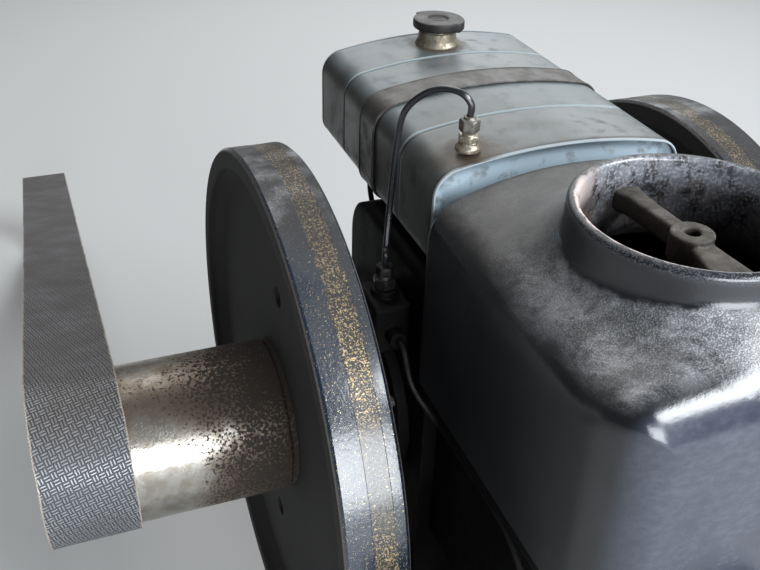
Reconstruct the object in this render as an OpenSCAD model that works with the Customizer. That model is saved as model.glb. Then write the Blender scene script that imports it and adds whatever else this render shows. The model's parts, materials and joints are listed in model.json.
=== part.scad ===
// Horizontal water-cooled stationary engine with two flywheels, a belt pulley and a fuel tank on top.
// Millimetres, +Z up. The crankshaft lies along X and the cylinder points towards -Y.
// The origin is on the floor under the crankshaft, midway between the flywheels.

/* [Flywheels] */
// Outside diameter of each flywheel
wheel_d = 600; // [560:1:620]
// Width of the rim
rim_w = 61; // [50:1:75]
// Radial thickness of the rim
rim_t = 22; // [16:1:34]
// Depth of the web below the rim's outer face
web_recess = 20; // [10:1:24]
// Thickness of the web
web_t = 24; // [16:1:26]
// Diameter of the hub boss on the inner side
hub_d = 120; // [100:1:140]
// Diameter of the two lifting holes in each web
web_hole_d = 24; // [16:1:34]
// Distance of the lifting holes from the crank axis
web_hole_reach = 163; // [140:1:190]
// Angle of the lifting holes above the rearward direction
web_hole_angle = 94; // [0:1:180]
// Clear width between the two flywheels
between_wheels = 423.5; // [415:0.5:460]

/* [Crankshaft and belt drive] */
// Height of the crank axis above the bearer rails
base_h = 205; // [200:1:225]
// Diameter of the crankshaft
shaft_d = 60; // [50:1:64]
// Length of shaft beyond the right flywheel
shaft_tail = 34; // [24:1:50]
// Outside diameter of the belt pulley
pulley_d = 170.6; // [160:0.1:190]
// Length of the belt pulley
pulley_len = 257; // [240:1:290]
// Wall thickness of the belt pulley
pulley_wall = 10; // [6:1:14]
// Depth of the pulley's end plate below its outer end
pulley_dish = 22; // [12:1:40]
// Width of the flat belt
belt_w = 93; // [80:1:96]
// Thickness of the flat belt
belt_t = 5.5; // [4:0.5:7]
// Distance between the centres of the two bends of the belt
belt_reach = 1300; // [1100:1:1300]
// Downward slope of the belt towards the rear, in degrees
belt_slope = 16.2; // [14:0.1:16.5]
// Distance of the belt's outer edge beyond the end of the pulley
belt_overhang = 5; // [0:1:10]

/* [Foundation] */
// Height of the concrete plinth
plinth_h = 245; // [240:1:290]
// Width of the concrete plinth
plinth_w = 380; // [360:1:390]
// Distance from the crank axis to the plinth's front end
plinth_front = 430; // [410:1:480]
// Distance from the crank axis to the plinth's rear end
plinth_rear = 200; // [185:1:260]
// Width of each bearer rail
rail_w = 62; // [50:1:66]
// Height of each bearer rail
rail_h = 30; // [28:1:34]
// Distance between the middles of the bearer rails
rail_spacing = 214; // [200:1:220]
// Diameter of the anchor studs
stud_d = 16; // [12:1:20]

/* [Crankcase] */
// Width of the crankcase
case_w = 260; // [250:1:266]
// Distance from the crank axis to the crankcase's rear wall
case_rear = 108; // [100:1:125]
// Distance from the crank axis to the crankcase's front wall
case_front = 125; // [112:1:130]
// Height of the crankcase's top above the crank axis
case_top = 216; // [205:1:218]
// Radius of the crankcase's upper rear corner
case_corner_r = 58; // [40:1:70]
// Radius of the smaller edges of the castings
cast_edge_r = 14; // [6:1:20]
// Diameter of the bearing housings
bearing_d = 180; // [160:1:190]
// Length of the left bearing housing
bearing_len = 36; // [28:1:40]
// Thickness of the timing cover
timing_t = 38; // [30:1:42]

/* [Cylinder and head] */
// Width of the cylinder block
block_w = 230; // [210:1:240]
// Height of the cylinder block's underside below the crank axis
block_drop = 115; // [100:1:125]
// Distance from the crank axis to the front of the cylinder block
block_front = 400; // [390:1:410]
// Width of the flange that carries the hopper
flange_w = 274; // [262:1:276]
// Thickness of the flange that carries the hopper
flange_t = 20; // [16:1:26]
// Height of the flange's underside above the crank axis
flange_z = 97; // [92:1:100]
// Length of the cylinder head
head_len = 76; // [68:1:84]
// Width of the cylinder head
head_w = 190; // [180:1:200]
// Length of the rocker cover
rocker_len = 50; // [40:1:60]

/* [Water hopper] */
// Width of the water hopper
hopper_w = 286; // [276:1:290]
// Distance from the crank axis to the hopper's front wall
hopper_front = 454; // [446:1:466]
// Distance from the crank axis to the hopper's rear wall
hopper_rear = 125; // [123:1:128]
// Height of the hopper's crown above the crank axis
hopper_top = 336; // [326:1:346]
// Radius of the hopper's long upper edges
hopper_r = 42; // [30:1:46]
// Radius of the hopper's front edges
hopper_front_r = 34; // [24:1:40]
// Radius of the hopper's rear edges
hopper_rear_r = 12; // [8:1:20]
// Radius of the crown across the hopper's top
hopper_crown_r = 350; // [330:5:600]
// Wall thickness of the hopper
hopper_wall = 8; // [5:1:12]
// Outside diameter of the mouth ring
mouth_d = 202; // [196:1:214]
// Wall thickness of the mouth ring
mouth_wall = 10; // [8:1:14]
// Height of the mouth ring's top above the crank axis
mouth_z = 377; // [368:1:386]
// Distance from the crank axis to the middle of the mouth
mouth_y = 304; // [298:1:310]
// Width of the bridge across the mouth
bridge_w = 12; // [10:1:18]
// Diameter of the bridge's boss
bridge_boss_d = 35; // [30:1:42]
// Diameter of the threaded hole in the bridge's boss
bridge_hole_d = 12; // [8:1:16]

/* [Fuel tank] */
// Width of the fuel tank
tank_w = 262; // [250:1:266]
// Distance from the crank axis to the tank's front rim
tank_front = 115; // [112:1:118]
// Distance from the crank axis to the tank's rear rim
tank_rear = 221; // [205:1:240]
// Height of the tank's crown above the crank axis
tank_top = 346.6; // [340:0.2:352]
// Height of the tank's bottom above the crank axis
tank_bottom = 230; // [228:1:238]
// Radius of the tank's upper corners
tank_corner_r = 28; // [20:1:32]
// Radius of the tank's lower corners
tank_foot_r = 22; // [12:1:28]
// Radius of the crown across the tank's top
tank_crown_r = 542; // [480:2:700]
// Wall thickness of the tank's shell
tank_wall = 2; // [1.5:0.1:3]
// Depth of the grooves pressed into the shell
groove_depth = 2; // [1:0.2:3]
// Width of the grooves pressed into the shell
groove_w = 6; // [4:1:10]
// Distance of the end plates below the rims
end_recess = 6; // [3:1:12]
// Width of the tank's strap
strap_w = 42; // [30:1:50]
// Thickness of the tank's strap
strap_t = 2.4; // [1.5:0.1:3]
// Distance from the crank axis to the middle of the strap
strap_y = 59.5; // [50:0.5:70]

/* [Fuel fittings] */
// Distance from the crank axis to the middle of the filler neck
neck_y = 180; // [170:1:188]
// Sideways place of the filler neck
neck_x = -3; // [-12:1:12]
// Diameter of the filler neck
neck_d = 40; // [34:1:46]
// Height of the filler neck above the tank's crown
neck_h = 20; // [14:1:24]
// Diameter of the filler cap
cap_d = 66; // [60:1:72]
// Height of the filler cap
cap_h = 17; // [12:1:22]
// Diameter of the fuel pipes
fuel_pipe_d = 6.5; // [5:0.5:8]
// Size across the flats of the pipe nuts
nut_af = 19; // [16:1:22]
// Diameter of the fuel filter bowl
filter_d = 58; // [48:1:64]

/* [Intake and exhaust] */
// Diameter of the exhaust pipe
exhaust_d = 48; // [40:1:54]
// Diameter of the silencer
silencer_d = 92; // [80:1:104]
// Height of the silencer drum
silencer_h = 230; // [180:1:260]
// Diameter of the air cleaner
cleaner_d = 104; // [90:1:116]
// Height of the air cleaner
cleaner_h = 112; // [90:1:120]

/* [Fits] */
// Radial running clearance of the crankshaft
run_gap = 0.3; // [0.2:0.05:0.5]
// Small gap between curved faces that are seated on each other
seat_gap = 0.3; // [0.2:0.05:0.5]
// Radial clearance of what is keyed to the shaft
key_gap = 0.1; // [0.05:0.05:0.2]

/* [Hidden] */

$fn = 96;
cut = 1;

wheel_r = wheel_d / 2;
rim_inner_r = wheel_r - rim_t;
wheel_out = between_wheels / 2 + rim_w;
web_out = wheel_out - web_recess;
crank_z = plinth_h + rail_h + base_h;
hub_in = case_w / 2 + max(bearing_len, timing_t) + 6;
shaft_r = shaft_d / 2;
pulley_r = pulley_d / 2;
pulley_end = web_out + pulley_len;
pulley_plate_t = 16;
belt_in_r = pulley_r + seat_gap;
belt_out_x = pulley_end + belt_overhang;

block_top = flange_z + flange_t;
head_front = block_front + head_len;
head_h = block_drop + flange_z - 20;
rocker_front = head_front + rocker_len;
port_y = -(block_front + head_len / 2);
injector_z = 30;
exhaust_z = 24;
tail_len = 44;
intake_z = -58;
mouth_r = mouth_d / 2;
mouth_in_r = mouth_r - mouth_wall;
tank_len = tank_front + tank_rear;
strap_in = seat_gap;
groove_before = 89;
groove_after = 78.5;
groove_ys = [strap_y - groove_before, strap_y + groove_after];

union_x = -89;
union_y = -91;
pump_y = -51;
pump_w = 40;
pump_l = 56;
pump_x = -(case_w + pump_w) / 2;
pump_rear = pump_y + pump_l / 2;
pump_front = pump_y - pump_l / 2;
pump_z = bearing_d / 2 + 24;
pump_top = pump_z + 58;
pump_boss_h = 8;
lower_nut_h = 12;
upper_nut_h = 11;
nut_space = 3;
pump_union_top = pump_top + pump_boss_h + lower_nut_h + nut_space + upper_nut_h;
delivery_z = pump_z + 26;
delivery_len = 16;
filter_x = -18;
filter_y = 180;
cleaner_x = -(head_w / 2 + 68);
silencer_x = hopper_w / 2 + silencer_d / 2 + 10;
silencer_z = 70;

// Places a shape that is drawn about the crank axis.
module about_crank() {
    translate([0, 0, crank_z]) children();
}

// Round bar along X between two places.
module bar_x(r, x0, x1) {
    translate([x0, 0, 0]) rotate([0, 90, 0]) cylinder(r = r, h = x1 - x0);
}

// Round bar along Y between two places.
module bar_y(r, y0, y1) {
    translate([0, y0, 0]) rotate([-90, 0, 0]) cylinder(r = r, h = y1 - y0);
}

// Outline drawn in Y and Z, carried along X.
module carried_x(x0, x1) {
    translate([x0, 0, 0]) rotate([90, 0, 90]) linear_extrude(height = x1 - x0) children();
}

// Outline drawn in X and Z, carried along Y.
module carried_y(y0, y1) {
    translate([0, y1, 0]) rotate([90, 0, 0]) linear_extrude(height = y1 - y0) children();
}

// Rectangle with four round corners.
module round_rect(low, high, r) {
    translate([low[0] + r, low[1]]) square([high[0] - low[0] - 2 * r, high[1] - low[1]]);
    translate([low[0], low[1] + r]) square([high[0] - low[0], high[1] - low[1] - 2 * r]);
    for (u = [low[0] + r, high[0] - r], v = [low[1] + r, high[1] - r]) translate([u, v]) circle(r);
}

// Outline with a crown that runs smoothly into rounded upper corners, above lower corners of their own.
// The small lift lets the corners cross the crown cleanly instead of only touching it.
corner_lift = 0.15;
module crowned(half_w, low, top, corner_r, crown_r, foot_r) {
    corner_x = half_w - corner_r;
    reach = crown_r - corner_r;
    corner_z = top - crown_r + sqrt(reach * reach - corner_x * corner_x) + corner_lift;
    touch_x = corner_x * crown_r / reach;
    translate([-half_w, low + foot_r]) square([2 * half_w, corner_z - low - foot_r]);
    translate([-half_w + foot_r, low]) square([2 * (half_w - foot_r), foot_r + cut]);
    for (side = [-1, 1]) {
        translate([side * corner_x, corner_z]) circle(corner_r);
        if (foot_r > 0) translate([side * (half_w - foot_r), low + foot_r]) circle(foot_r);
    }
    intersection() {
        translate([0, top - crown_r]) circle(crown_r, $fn = 256);
        translate([-touch_x, corner_z - cut]) square([2 * touch_x, top - corner_z + 2 * cut]);
    }
}

// Box between two corners, with its upright edges rounded by one radius and the others by another.
module cast_box(low, high, upright_r, level_r) {
    intersection() {
        translate([0, 0, low[2]]) linear_extrude(height = high[2] - low[2])
            round_rect([low[0], low[1]], [high[0], high[1]], upright_r);
        carried_x(low[0], high[0]) round_rect([low[1], low[2]], [high[1], high[2]], level_r);
        carried_y(low[1], high[1]) round_rect([low[0], low[2]], [high[0], high[2]], level_r);
    }
}

// Box between two corners with sharp edges.
module block(low, high) {
    translate(low) cube(high - low);
}

// Hexagon nut or head that stands on the XY plane.
module hex(af, h) {
    cylinder(d = af / cos(30), h = h, $fn = 6);
}

// Turned shape about X. The outline gives radius first and distance from the middle plane second.
module turned_right(outline) {
    rotate([0, 90, 0]) rotate_extrude() polygon(outline);
}
module turned_left(outline) {
    mirror([1, 0, 0]) turned_right(outline);
}

// Smooth route through a list of points.
function route_point(p, i, t) =
    let (a = p[max(i - 1, 0)], b = p[i], c = p[i + 1], d = p[min(i + 2, len(p) - 1)])
    0.5 * (2 * b + (c - a) * t + (2 * a - 5 * b + 4 * c - d) * t * t + (3 * b - a - 3 * c + d) * t * t * t);
function smooth_route(p, steps) = concat(
    [for (i = [0 : len(p) - 2], k = [0 : steps - 1]) route_point(p, i, k / steps)],
    [p[len(p) - 1]]);
function unit(v) = v / norm(v);
function tangent(p, q, i) = i == 0 ? unit(p[1] - p[0])
    : i == len(q) - 1 ? unit(p[len(p) - 1] - p[len(p) - 2])
    : unit(q[i + 1] - q[i - 1]);
function ring_point(p, q, i, r, angle, side) =
    let (t = tangent(p, q, i), u = unit(cross(t, side)), w = cross(t, u))
    q[i] + r * (cos(angle) * u + sin(angle) * w);

// Round pipe along a smooth route. The side vector is never parallel to the route.
module pipe(points, d, side, steps = 4, sides = 10) {
    q = smooth_route(points, steps);
    n = len(q);
    rings = [for (i = [0 : n - 1], k = [0 : sides - 1])
        ring_point(points, q, i, d / 2, 360 * k / sides, side)];
    walls = [for (i = [0 : n - 2], k = [0 : sides - 1], half = [0, 1])
        let (a = i * sides + k, b = i * sides + (k + 1) % sides)
        half == 0 ? [a, a + sides, b] : [b, a + sides, b + sides]];
    first = [for (k = [0 : sides - 1]) k];
    last = [for (k = [sides - 1 : -1 : 0]) (n - 1) * sides + k];
    polyhedron(points = rings, faces = concat([first, last], walls), convexity = 6);
}

// Concrete plinth.
module foundation_block() {
    color("gray") block([-plinth_w / 2, -plinth_front, 0], [plinth_w / 2, plinth_rear, plinth_h]);
}

// Two steel bearer rails that the castings are bolted to.
rail_ends = [-(plinth_front - 20), plinth_rear - 20];
stud_ys = [rail_ends[0] + 45, rail_ends[1] - 30];
module bearer_rails() {
    color("dimgray") difference() {
        for (side = [-1, 1])
            block([side * rail_spacing / 2 - rail_w / 2, rail_ends[0], plinth_h],
                [side * rail_spacing / 2 + rail_w / 2, rail_ends[1], plinth_h + rail_h]);
        for (side = [-1, 1], y = stud_ys)
            translate([side * rail_spacing / 2, y, plinth_h - cut])
                cylinder(d = stud_d + 2, h = rail_h + 2 * cut);
    }
}

// Four anchor studs with their nuts, standing on the plinth through the rails.
module anchor_bolts() {
    color("dimgray") for (side = [-1, 1], y = stud_ys) translate([side * rail_spacing / 2, y, plinth_h]) {
        cylinder(d = stud_d, h = rail_h + stud_d + 14);
        translate([0, 0, rail_h]) cylinder(d = stud_d * 2, h = 3);
        translate([0, 0, rail_h + 3]) hex(stud_d * 1.5, stud_d * 0.8);
    }
}

// Crankcase casting with its shaft tunnel.
module crankcase() {
    foot_w = rail_spacing + rail_w;
    foot_h = 18;
    color("black") about_crank() difference() {
        union() {
            intersection() {
                carried_x(-case_w / 2, case_w / 2) {
                    translate([-case_front, -base_h])
                        square([case_front + case_rear, base_h + case_top - case_corner_r]);
                    translate([-case_front, -base_h])
                        square([case_front + case_rear - case_corner_r, base_h + case_top]);
                    translate([case_rear - case_corner_r, case_top - case_corner_r]) circle(case_corner_r);
                }
                carried_y(-case_front, case_rear)
                    round_rect([-case_w / 2, -base_h], [case_w / 2, case_top], cast_edge_r);
            }
            block([-foot_w / 2, -case_front, -base_h], [foot_w / 2, case_rear, -base_h + foot_h]);
        }
        bar_x(shaft_r + run_gap, -max(foot_w, case_w) / 2 - cut, max(foot_w, case_w) / 2 + cut);
    }
}

// Inspection cover on the crankcase's rear wall.
cover_w = 190;
plug_r = 14;
plug_z = 34;
cover_low = -base_h + plug_z + 1.5 * plug_r;
cover_high = 110;
cover_t = 14;
module rear_cover() {
    color("black") about_crank()
        carried_y(case_rear, case_rear + cover_t)
            round_rect([-cover_w / 2, cover_low], [cover_w / 2, cover_high], 24);
}

// Bearing housing on the left wall, bolted by its flange.
module left_bearing_housing() {
    x0 = case_w / 2;
    color("black") about_crank() turned_left([
        [shaft_r + run_gap, x0], [bearing_d / 2, x0], [bearing_d / 2, x0 + 12],
        [bearing_d / 2 - 16, x0 + 16], [bearing_d / 2 - 24, x0 + bearing_len - 4],
        [bearing_d / 2 - 28, x0 + bearing_len], [shaft_r + run_gap, x0 + bearing_len]]);
}

// Timing gear cover on the right wall.
module timing_cover() {
    cam_y = -48;
    cam_z = 86;
    cam_r = bearing_d * 0.4;
    color("black") about_crank() difference() {
        union() {
            carried_x(case_w / 2, case_w / 2 + timing_t) {
                circle(bearing_d / 2);
                translate([cam_y, cam_z]) circle(cam_r);
            }
            bar_x(shaft_r + 16, case_w / 2 + timing_t - cut, case_w / 2 + timing_t + 4);
        }
        bar_x(shaft_r + run_gap, case_w / 2 - cut, case_w / 2 + timing_t + 4 + cut);
    }
}

// Cylinder block with the flange that carries the hopper.
module cylinder_block() {
    color("black") about_crank() {
        cast_box([-block_w / 2, -block_front, -block_drop],
            [block_w / 2, -case_front, flange_z + cut], 6, 10);
        block([-flange_w / 2, -hopper_front + 8, flange_z], [flange_w / 2, -case_front, block_top]);
    }
}

// Foot under the cylinder block, standing on both rails.
module front_foot() {
    foot_len = 44;
    foot_h = 16;
    foot_w = rail_spacing + rail_w;
    neck_w = 120;
    foot_back = 96;
    y1 = foot_back - block_front;
    color("black") about_crank() {
        block([-foot_w / 2, y1 - foot_len, -base_h], [foot_w / 2, y1, -base_h + foot_h]);
        block([-neck_w / 2, y1 - foot_len + 8, -base_h + foot_h - cut], [neck_w / 2, y1 - 8, -block_drop]);
    }
}

// Cylinder head.
module cylinder_head() {
    color("black") about_crank()
        cast_box([-head_w / 2, -head_front, -block_drop + 8],
            [head_w / 2, -block_front, head_h - block_drop], 8, 12);
}

// Pressed cover over the rockers.
module rocker_cover() {
    w = head_w - 36;
    h = head_h - 44;
    low = -block_drop + 26;
    color("black") about_crank() {
        cast_box([-w / 2, -rocker_front, low], [w / 2, -head_front, low + h], 2, 22);
        block([-w / 2 - 8, -head_front - 6, low - 4], [w / 2 + 8, -head_front, low + h + 4]);
    }
}

// Rounded body of the hopper, or its inside where an inset is given.
module hopper_body(inset) {
    front = -hopper_front + inset;
    rear = -hopper_rear - inset;
    w = hopper_w / 2 - inset;
    top = hopper_top - inset;
    front_r = hopper_front_r - inset;
    rear_r = hopper_rear_r - inset;
    intersection() {
        carried_y(front, rear)
            crowned(w, block_top + inset, top, hopper_r - inset, hopper_crown_r - inset, 0);
        carried_x(-w, w) {
            translate([front, block_top]) square([rear - front, top - front_r - block_top]);
            translate([front + front_r, block_top])
                square([rear - rear_r - front - front_r, top - block_top]);
            translate([rear - 2 * rear_r, block_top]) square([2 * rear_r, top - rear_r - block_top]);
            translate([front + front_r, top - front_r]) circle(front_r);
            translate([rear - rear_r, top - rear_r]) circle(rear_r);
        }
        translate([0, 0, block_top - cut]) linear_extrude(height = hopper_top) {
            translate([-w, front + front_r]) square([2 * w, rear - rear_r - front - front_r]);
            translate([-w + front_r, front]) square([2 * (w - front_r), front_r + cut]);
            translate([-w + rear_r, rear - rear_r - cut]) square([2 * (w - rear_r), rear_r + cut]);
            for (side = [-1, 1]) {
                translate([side * (w - front_r), front + front_r]) circle(front_r);
                translate([side * (w - rear_r), rear - rear_r]) circle(rear_r);
            }
        }
    }
}

// Open water hopper with the ring around its mouth, which runs out into the crown by a sloping skirt.
module water_hopper() {
    lip_r = mouth_wall / 2;
    base = hopper_top - 34;
    skirt_w = 24;
    color("dimgray") about_crank() difference() {
        union() {
            difference() {
                union() {
                    hopper_body(0);
                    translate([0, -mouth_y, 0]) rotate_extrude()
                        polygon([[mouth_in_r, hopper_top + 22], [mouth_r - 1, hopper_top + 22],
                            [mouth_r + skirt_w, hopper_top - 22], [mouth_in_r, hopper_top - 22]]);
                }
                hopper_body(hopper_wall);
            }
            translate([0, -mouth_y, 0]) rotate_extrude() {
                translate([mouth_in_r, base]) square([mouth_wall, mouth_z - lip_r - base]);
                translate([mouth_r - lip_r, mouth_z - lip_r]) circle(lip_r);
            }
        }
        translate([0, -mouth_y, base - cut]) cylinder(r = mouth_in_r, h = mouth_z - base + 2 * cut);
    }
}

// Bar across the mouth with a threaded boss in its middle. Its front arm spreads towards the ring.
bridge_top = mouth_z - 21;
bridge_boss_h = 24;
module hopper_bridge() {
    arm_h = 15;
    arm_drop = 5;
    reach = mouth_in_r - seat_gap;
    low = bridge_top - bridge_boss_h;
    color("saddlebrown") about_crank() translate([0, -mouth_y, 0]) difference() {
        intersection() {
            union() {
                carried_x(-bridge_w / 2, bridge_w / 2)
                    polygon([[0, bridge_top - 2], [0, bridge_top - 2 - arm_h],
                        [reach + cut, bridge_top - arm_drop - arm_h], [reach + cut, bridge_top - arm_drop]]);
                translate([0, 0, bridge_top - 4 - arm_h]) linear_extrude(height = arm_h)
                    polygon([[-bridge_w / 2, 0], [-bridge_w, -reach / 2], [-bridge_w * 1.6, -reach - cut],
                        [bridge_w * 1.6, -reach - cut], [bridge_w, -reach / 2], [bridge_w / 2, 0]]);
                translate([0, 0, low]) cylinder(d = bridge_boss_d, h = bridge_boss_h);
            }
            translate([0, 0, low - cut]) cylinder(r = reach, h = bridge_boss_h + 2 * cut);
        }
        translate([0, 0, low - cut]) cylinder(d = bridge_hole_d, h = bridge_boss_h + 2 * cut);
    }
}

// Drain cock low on the hopper's right wall.
module hopper_drain_cock() {
    x0 = hopper_w / 2;
    z = block_top + 30;
    tap_x = x0 + 24;
    handle_len = 32;
    color("goldenrod") about_crank() translate([0, -hopper_rear - 60, z]) {
        bar_x(9, x0, x0 + 18);
        translate([tap_x, 0, -16]) cylinder(r = 8, h = 30);
        bar_x(4, tap_x - 7, tap_x + 10);
        translate([tap_x, 0, 14]) cylinder(r = 4, h = 8);
        translate([tap_x, 0, 20]) bar_y(3.5, -handle_len / 2, handle_len / 2);
    }
}

// Outline across the tank, crowned on top. A negative inset gives the outside of the strap.
module tank_section(inset) {
    crowned(tank_w / 2 - inset, tank_bottom + inset, tank_top - inset, tank_corner_r - inset,
        tank_crown_r - inset, tank_foot_r - inset);
}

// Sheet-metal shell with two grooves pressed around it.
module tank_shell() {
    edges = [for (g = groove_ys) each [g - groove_w / 2, g + groove_w / 2]];
    grooves = concat([-tank_front], edges, [tank_rear]);
    color("slategray") about_crank() difference() {
        for (i = [0 : len(grooves) - 2]) carried_y(grooves[i], grooves[i + 1])
            tank_section(i % 2 == 0 ? 0 : groove_depth);
        carried_y(-tank_front - cut, tank_rear + cut) tank_section(tank_wall + groove_depth);
        translate([neck_x, neck_y, tank_bottom + tank_foot_r])
            cylinder(d = neck_d + 2 * seat_gap, h = tank_top);
    }
}

// End plates, set back inside the rims of the shell.
module tank_end(y) {
    color("lightsteelblue") about_crank() carried_y(y, y + tank_wall)
        tank_section(tank_wall + groove_depth + seat_gap);
}
module tank_front_end() {
    tank_end(-tank_front + end_recess);
}
module tank_rear_end() {
    tank_end(tank_rear - end_recess - tank_wall);
}

// Steel strap around the tank, with a lug under each side.
module tank_strap() {
    color("dimgray") about_crank() difference() {
        carried_y(strap_y - strap_w / 2, strap_y + strap_w / 2) tank_section(-strap_in - strap_t);
        carried_y(strap_y - strap_w / 2 - cut, strap_y + strap_w / 2 + cut) tank_section(-strap_in);
    }
}

// Cradle of two flat bars on two rails, bolted to the top of the crankcase.
module tank_cradle() {
    bar_t = 5;
    top = tank_bottom - strap_in - strap_t - seat_gap;
    bar_ys = [strap_y - strap_w / 2, tank_rear - 2.3 * strap_w];
    bar_end = tank_w / 2 - tank_foot_r - 4;
    rail_x = 70;
    color("black") about_crank() {
        for (y = bar_ys) block([-bar_end, y, top - bar_t], [bar_end, y + strap_w, top]);
        for (side = [-1, 1]) block([side * rail_x - 14, -case_front + 25, case_top],
            [side * rail_x + 14, bar_ys[1] + strap_w, top - bar_t]);
    }
}

// Filler neck with a flange on the crown of the tank.
module filler_neck() {
    base = tank_top - 4;
    color("darkgoldenrod") about_crank() translate([neck_x, neck_y, 0]) difference() {
        union() {
            translate([0, 0, base]) cylinder(d = neck_d, h = neck_h + 4);
            translate([0, 0, tank_top + 0.4]) cylinder(d = neck_d + 8, h = 3);
        }
        translate([0, 0, base - cut]) cylinder(d = neck_d - 6, h = neck_h + 4 + 2 * cut);
    }
}

// Two-lobed cap that turns on the filler neck.
module filler_cap() {
    z0 = tank_top + neck_h - 8;
    lobe_r = 13;
    color("black") about_crank() translate([neck_x, neck_y, z0]) difference() {
        union() {
            cylinder(d = cap_d - 6, h = cap_h);
            translate([0, 0, cap_h - 8]) linear_extrude(height = 8) {
                circle(d = cap_d - 4);
                for (side = [-1, 1]) rotate(side * 90 + 60) translate([cap_d / 2 - lobe_r, 0]) circle(lobe_r);
            }
        }
        translate([0, 0, -cut]) cylinder(d = neck_d + 2 * run_gap, h = 8 + run_gap + cut);
        translate([0, 0, cap_h - 3]) cylinder(d = cap_d * 0.5, h = 3 + cut);
    }
}

// Brass union on the tank's crown with its hexagon nut.
module return_union() {
    base = tank_top - 12;
    color("darkgoldenrod") about_crank() difference() {
        translate([union_x, union_y, base]) {
            cylinder(r = 11, h = 14);
            translate([0, 0, 14]) hex(nut_af, 10);
            translate([0, 0, 24]) cylinder(r = 6, h = 4);
            translate([0, 0, 28]) hex(nut_af - 2, 12);
        }
        carried_y(union_y - nut_af, union_y + nut_af) tank_section(-seat_gap);
    }
}

// Thin pipe from the tank's union, over its shoulder and down to the pump.
return_start = tank_top + 28;
tank_side = -tank_w / 2;
return_points = [[union_x, union_y, return_start], [union_x, union_y, return_start + 11],
    [union_x - 8, union_y + 6, return_start + 20.5], [union_x - 20, union_y + 22, return_start + 19.5],
    [union_x - 34, union_y + 37, return_start + 8], [union_x - 45, union_y + 47, return_start - 11],
    [tank_side - 6, -38, tank_top - 14], [tank_side - 8, -34, (tank_top + tank_bottom) / 2],
    [tank_side - 10, -34, tank_bottom + 26], [pump_x + 3, -44, tank_bottom - 6],
    [pump_x, pump_y, pump_union_top + 12], [pump_x, pump_y, pump_union_top]];
module fuel_return_pipe() {
    color("black") about_crank() pipe(return_points, fuel_pipe_d, [0.7, -1, 0.1]);
}

// Injection pump bolted to the crankcase's left wall.
module injection_pump() {
    color("black") about_crank() {
        cast_box([pump_x - pump_w / 2, pump_front, pump_z], [-case_w / 2, pump_rear, pump_top], 5, 5);
        translate([pump_x, pump_y, pump_top - cut]) cylinder(r = 14, h = pump_boss_h + cut);
        translate([pump_x, 0, delivery_z]) bar_y(9, pump_front - delivery_len, pump_front + cut);
    }
}

// Two stacked nuts on top of the pump.
module pump_union_nuts() {
    base = pump_top + pump_boss_h;
    color("dimgray") about_crank() translate([pump_x, pump_y, 0]) {
        translate([0, 0, base]) hex(nut_af + 2, lower_nut_h);
        translate([0, 0, base + lower_nut_h]) cylinder(r = 7.5, h = nut_space);
        translate([0, 0, base + lower_nut_h + nut_space]) hex(nut_af - 2, upper_nut_h);
    }
}

// Injector on the left side of the head, with its inlet towards the rear.
injector_x = -(head_w / 2 + 34);
module injector() {
    color("gray") about_crank() translate([0, port_y, injector_z]) {
        bar_x(20, -head_w / 2 - 8, -head_w / 2);
        bar_x(13, injector_x - 16, -head_w / 2 - 8);
        bar_x(8, injector_x - 28, injector_x - 16);
        translate([injector_x, 0, 0]) bar_y(8, 0, 30);
    }
}

// Pipe from the pump, tucked in under the hopper's flange, to the injector.
pressure_x = -(block_w / 2 + 12);
pressure_z = flange_z - 22;
delivery_y = pump_front - delivery_len;
pressure_points = [[pump_x, delivery_y, delivery_z], [pump_x, delivery_y - 14, delivery_z],
    [-(flange_w / 2 + 11), -(case_front + 4), delivery_z - 30], [pressure_x - 6, -(case_front + 22), pressure_z + 6],
    [pressure_x, -0.45 * block_front, pressure_z], [pressure_x, -0.75 * block_front, pressure_z],
    [pressure_x, -0.9 * block_front, injector_z + 8], [injector_x, port_y + 44, injector_z],
    [injector_x, port_y + 30, injector_z]];
module high_pressure_pipe() {
    color("black") about_crank() pipe(pressure_points, fuel_pipe_d - 0.5, [0.2, 0.1, 1]);
}

// Filter bowl that hangs under the rear of the tank.
filter_top = tank_bottom - 12;
filter_h = 78;
module fuel_filter() {
    color("silver") about_crank() translate([filter_x, filter_y, 0]) {
        translate([0, 0, filter_top - filter_h]) cylinder(d = filter_d, h = filter_h - 22);
        translate([0, 0, filter_top - 22 - cut]) cylinder(d = filter_d + 8, h = 22 + cut);
        translate([0, 0, filter_top - cut]) cylinder(r = 9, h = tank_bottom - filter_top + cut);
        translate([-filter_d / 2 - 16, 0, filter_top - 12]) rotate([0, 90, 0]) cylinder(r = 7, h = 16);
    }
}

// Pipe from the filter down behind the crankcase, round its corner and up to the pump.
feed_x = filter_x - filter_d / 2 - 16;
feed_rear = case_rear + cover_t + 16;
feed_points = [[feed_x, filter_y, filter_top - 12], [feed_x - 12, filter_y, filter_top - 12],
    [feed_x - 22, filter_y - 8, filter_top - 40], [feed_x - 24, feed_rear + 8, filter_top - 90],
    [-case_w / 2 + 16, feed_rear, 96], [pump_x + 4, case_rear, 88], [pump_x, 60, 92],
    [pump_x, pump_rear + 26, pump_z + 18], [pump_x, pump_rear + 10, pump_z + 30],
    [pump_x, pump_rear, pump_z + 30]];
module fuel_feed_pipe() {
    color("black") about_crank() pipe(feed_points, fuel_pipe_d, [0.1, 0.2, 1]);
}

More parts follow.
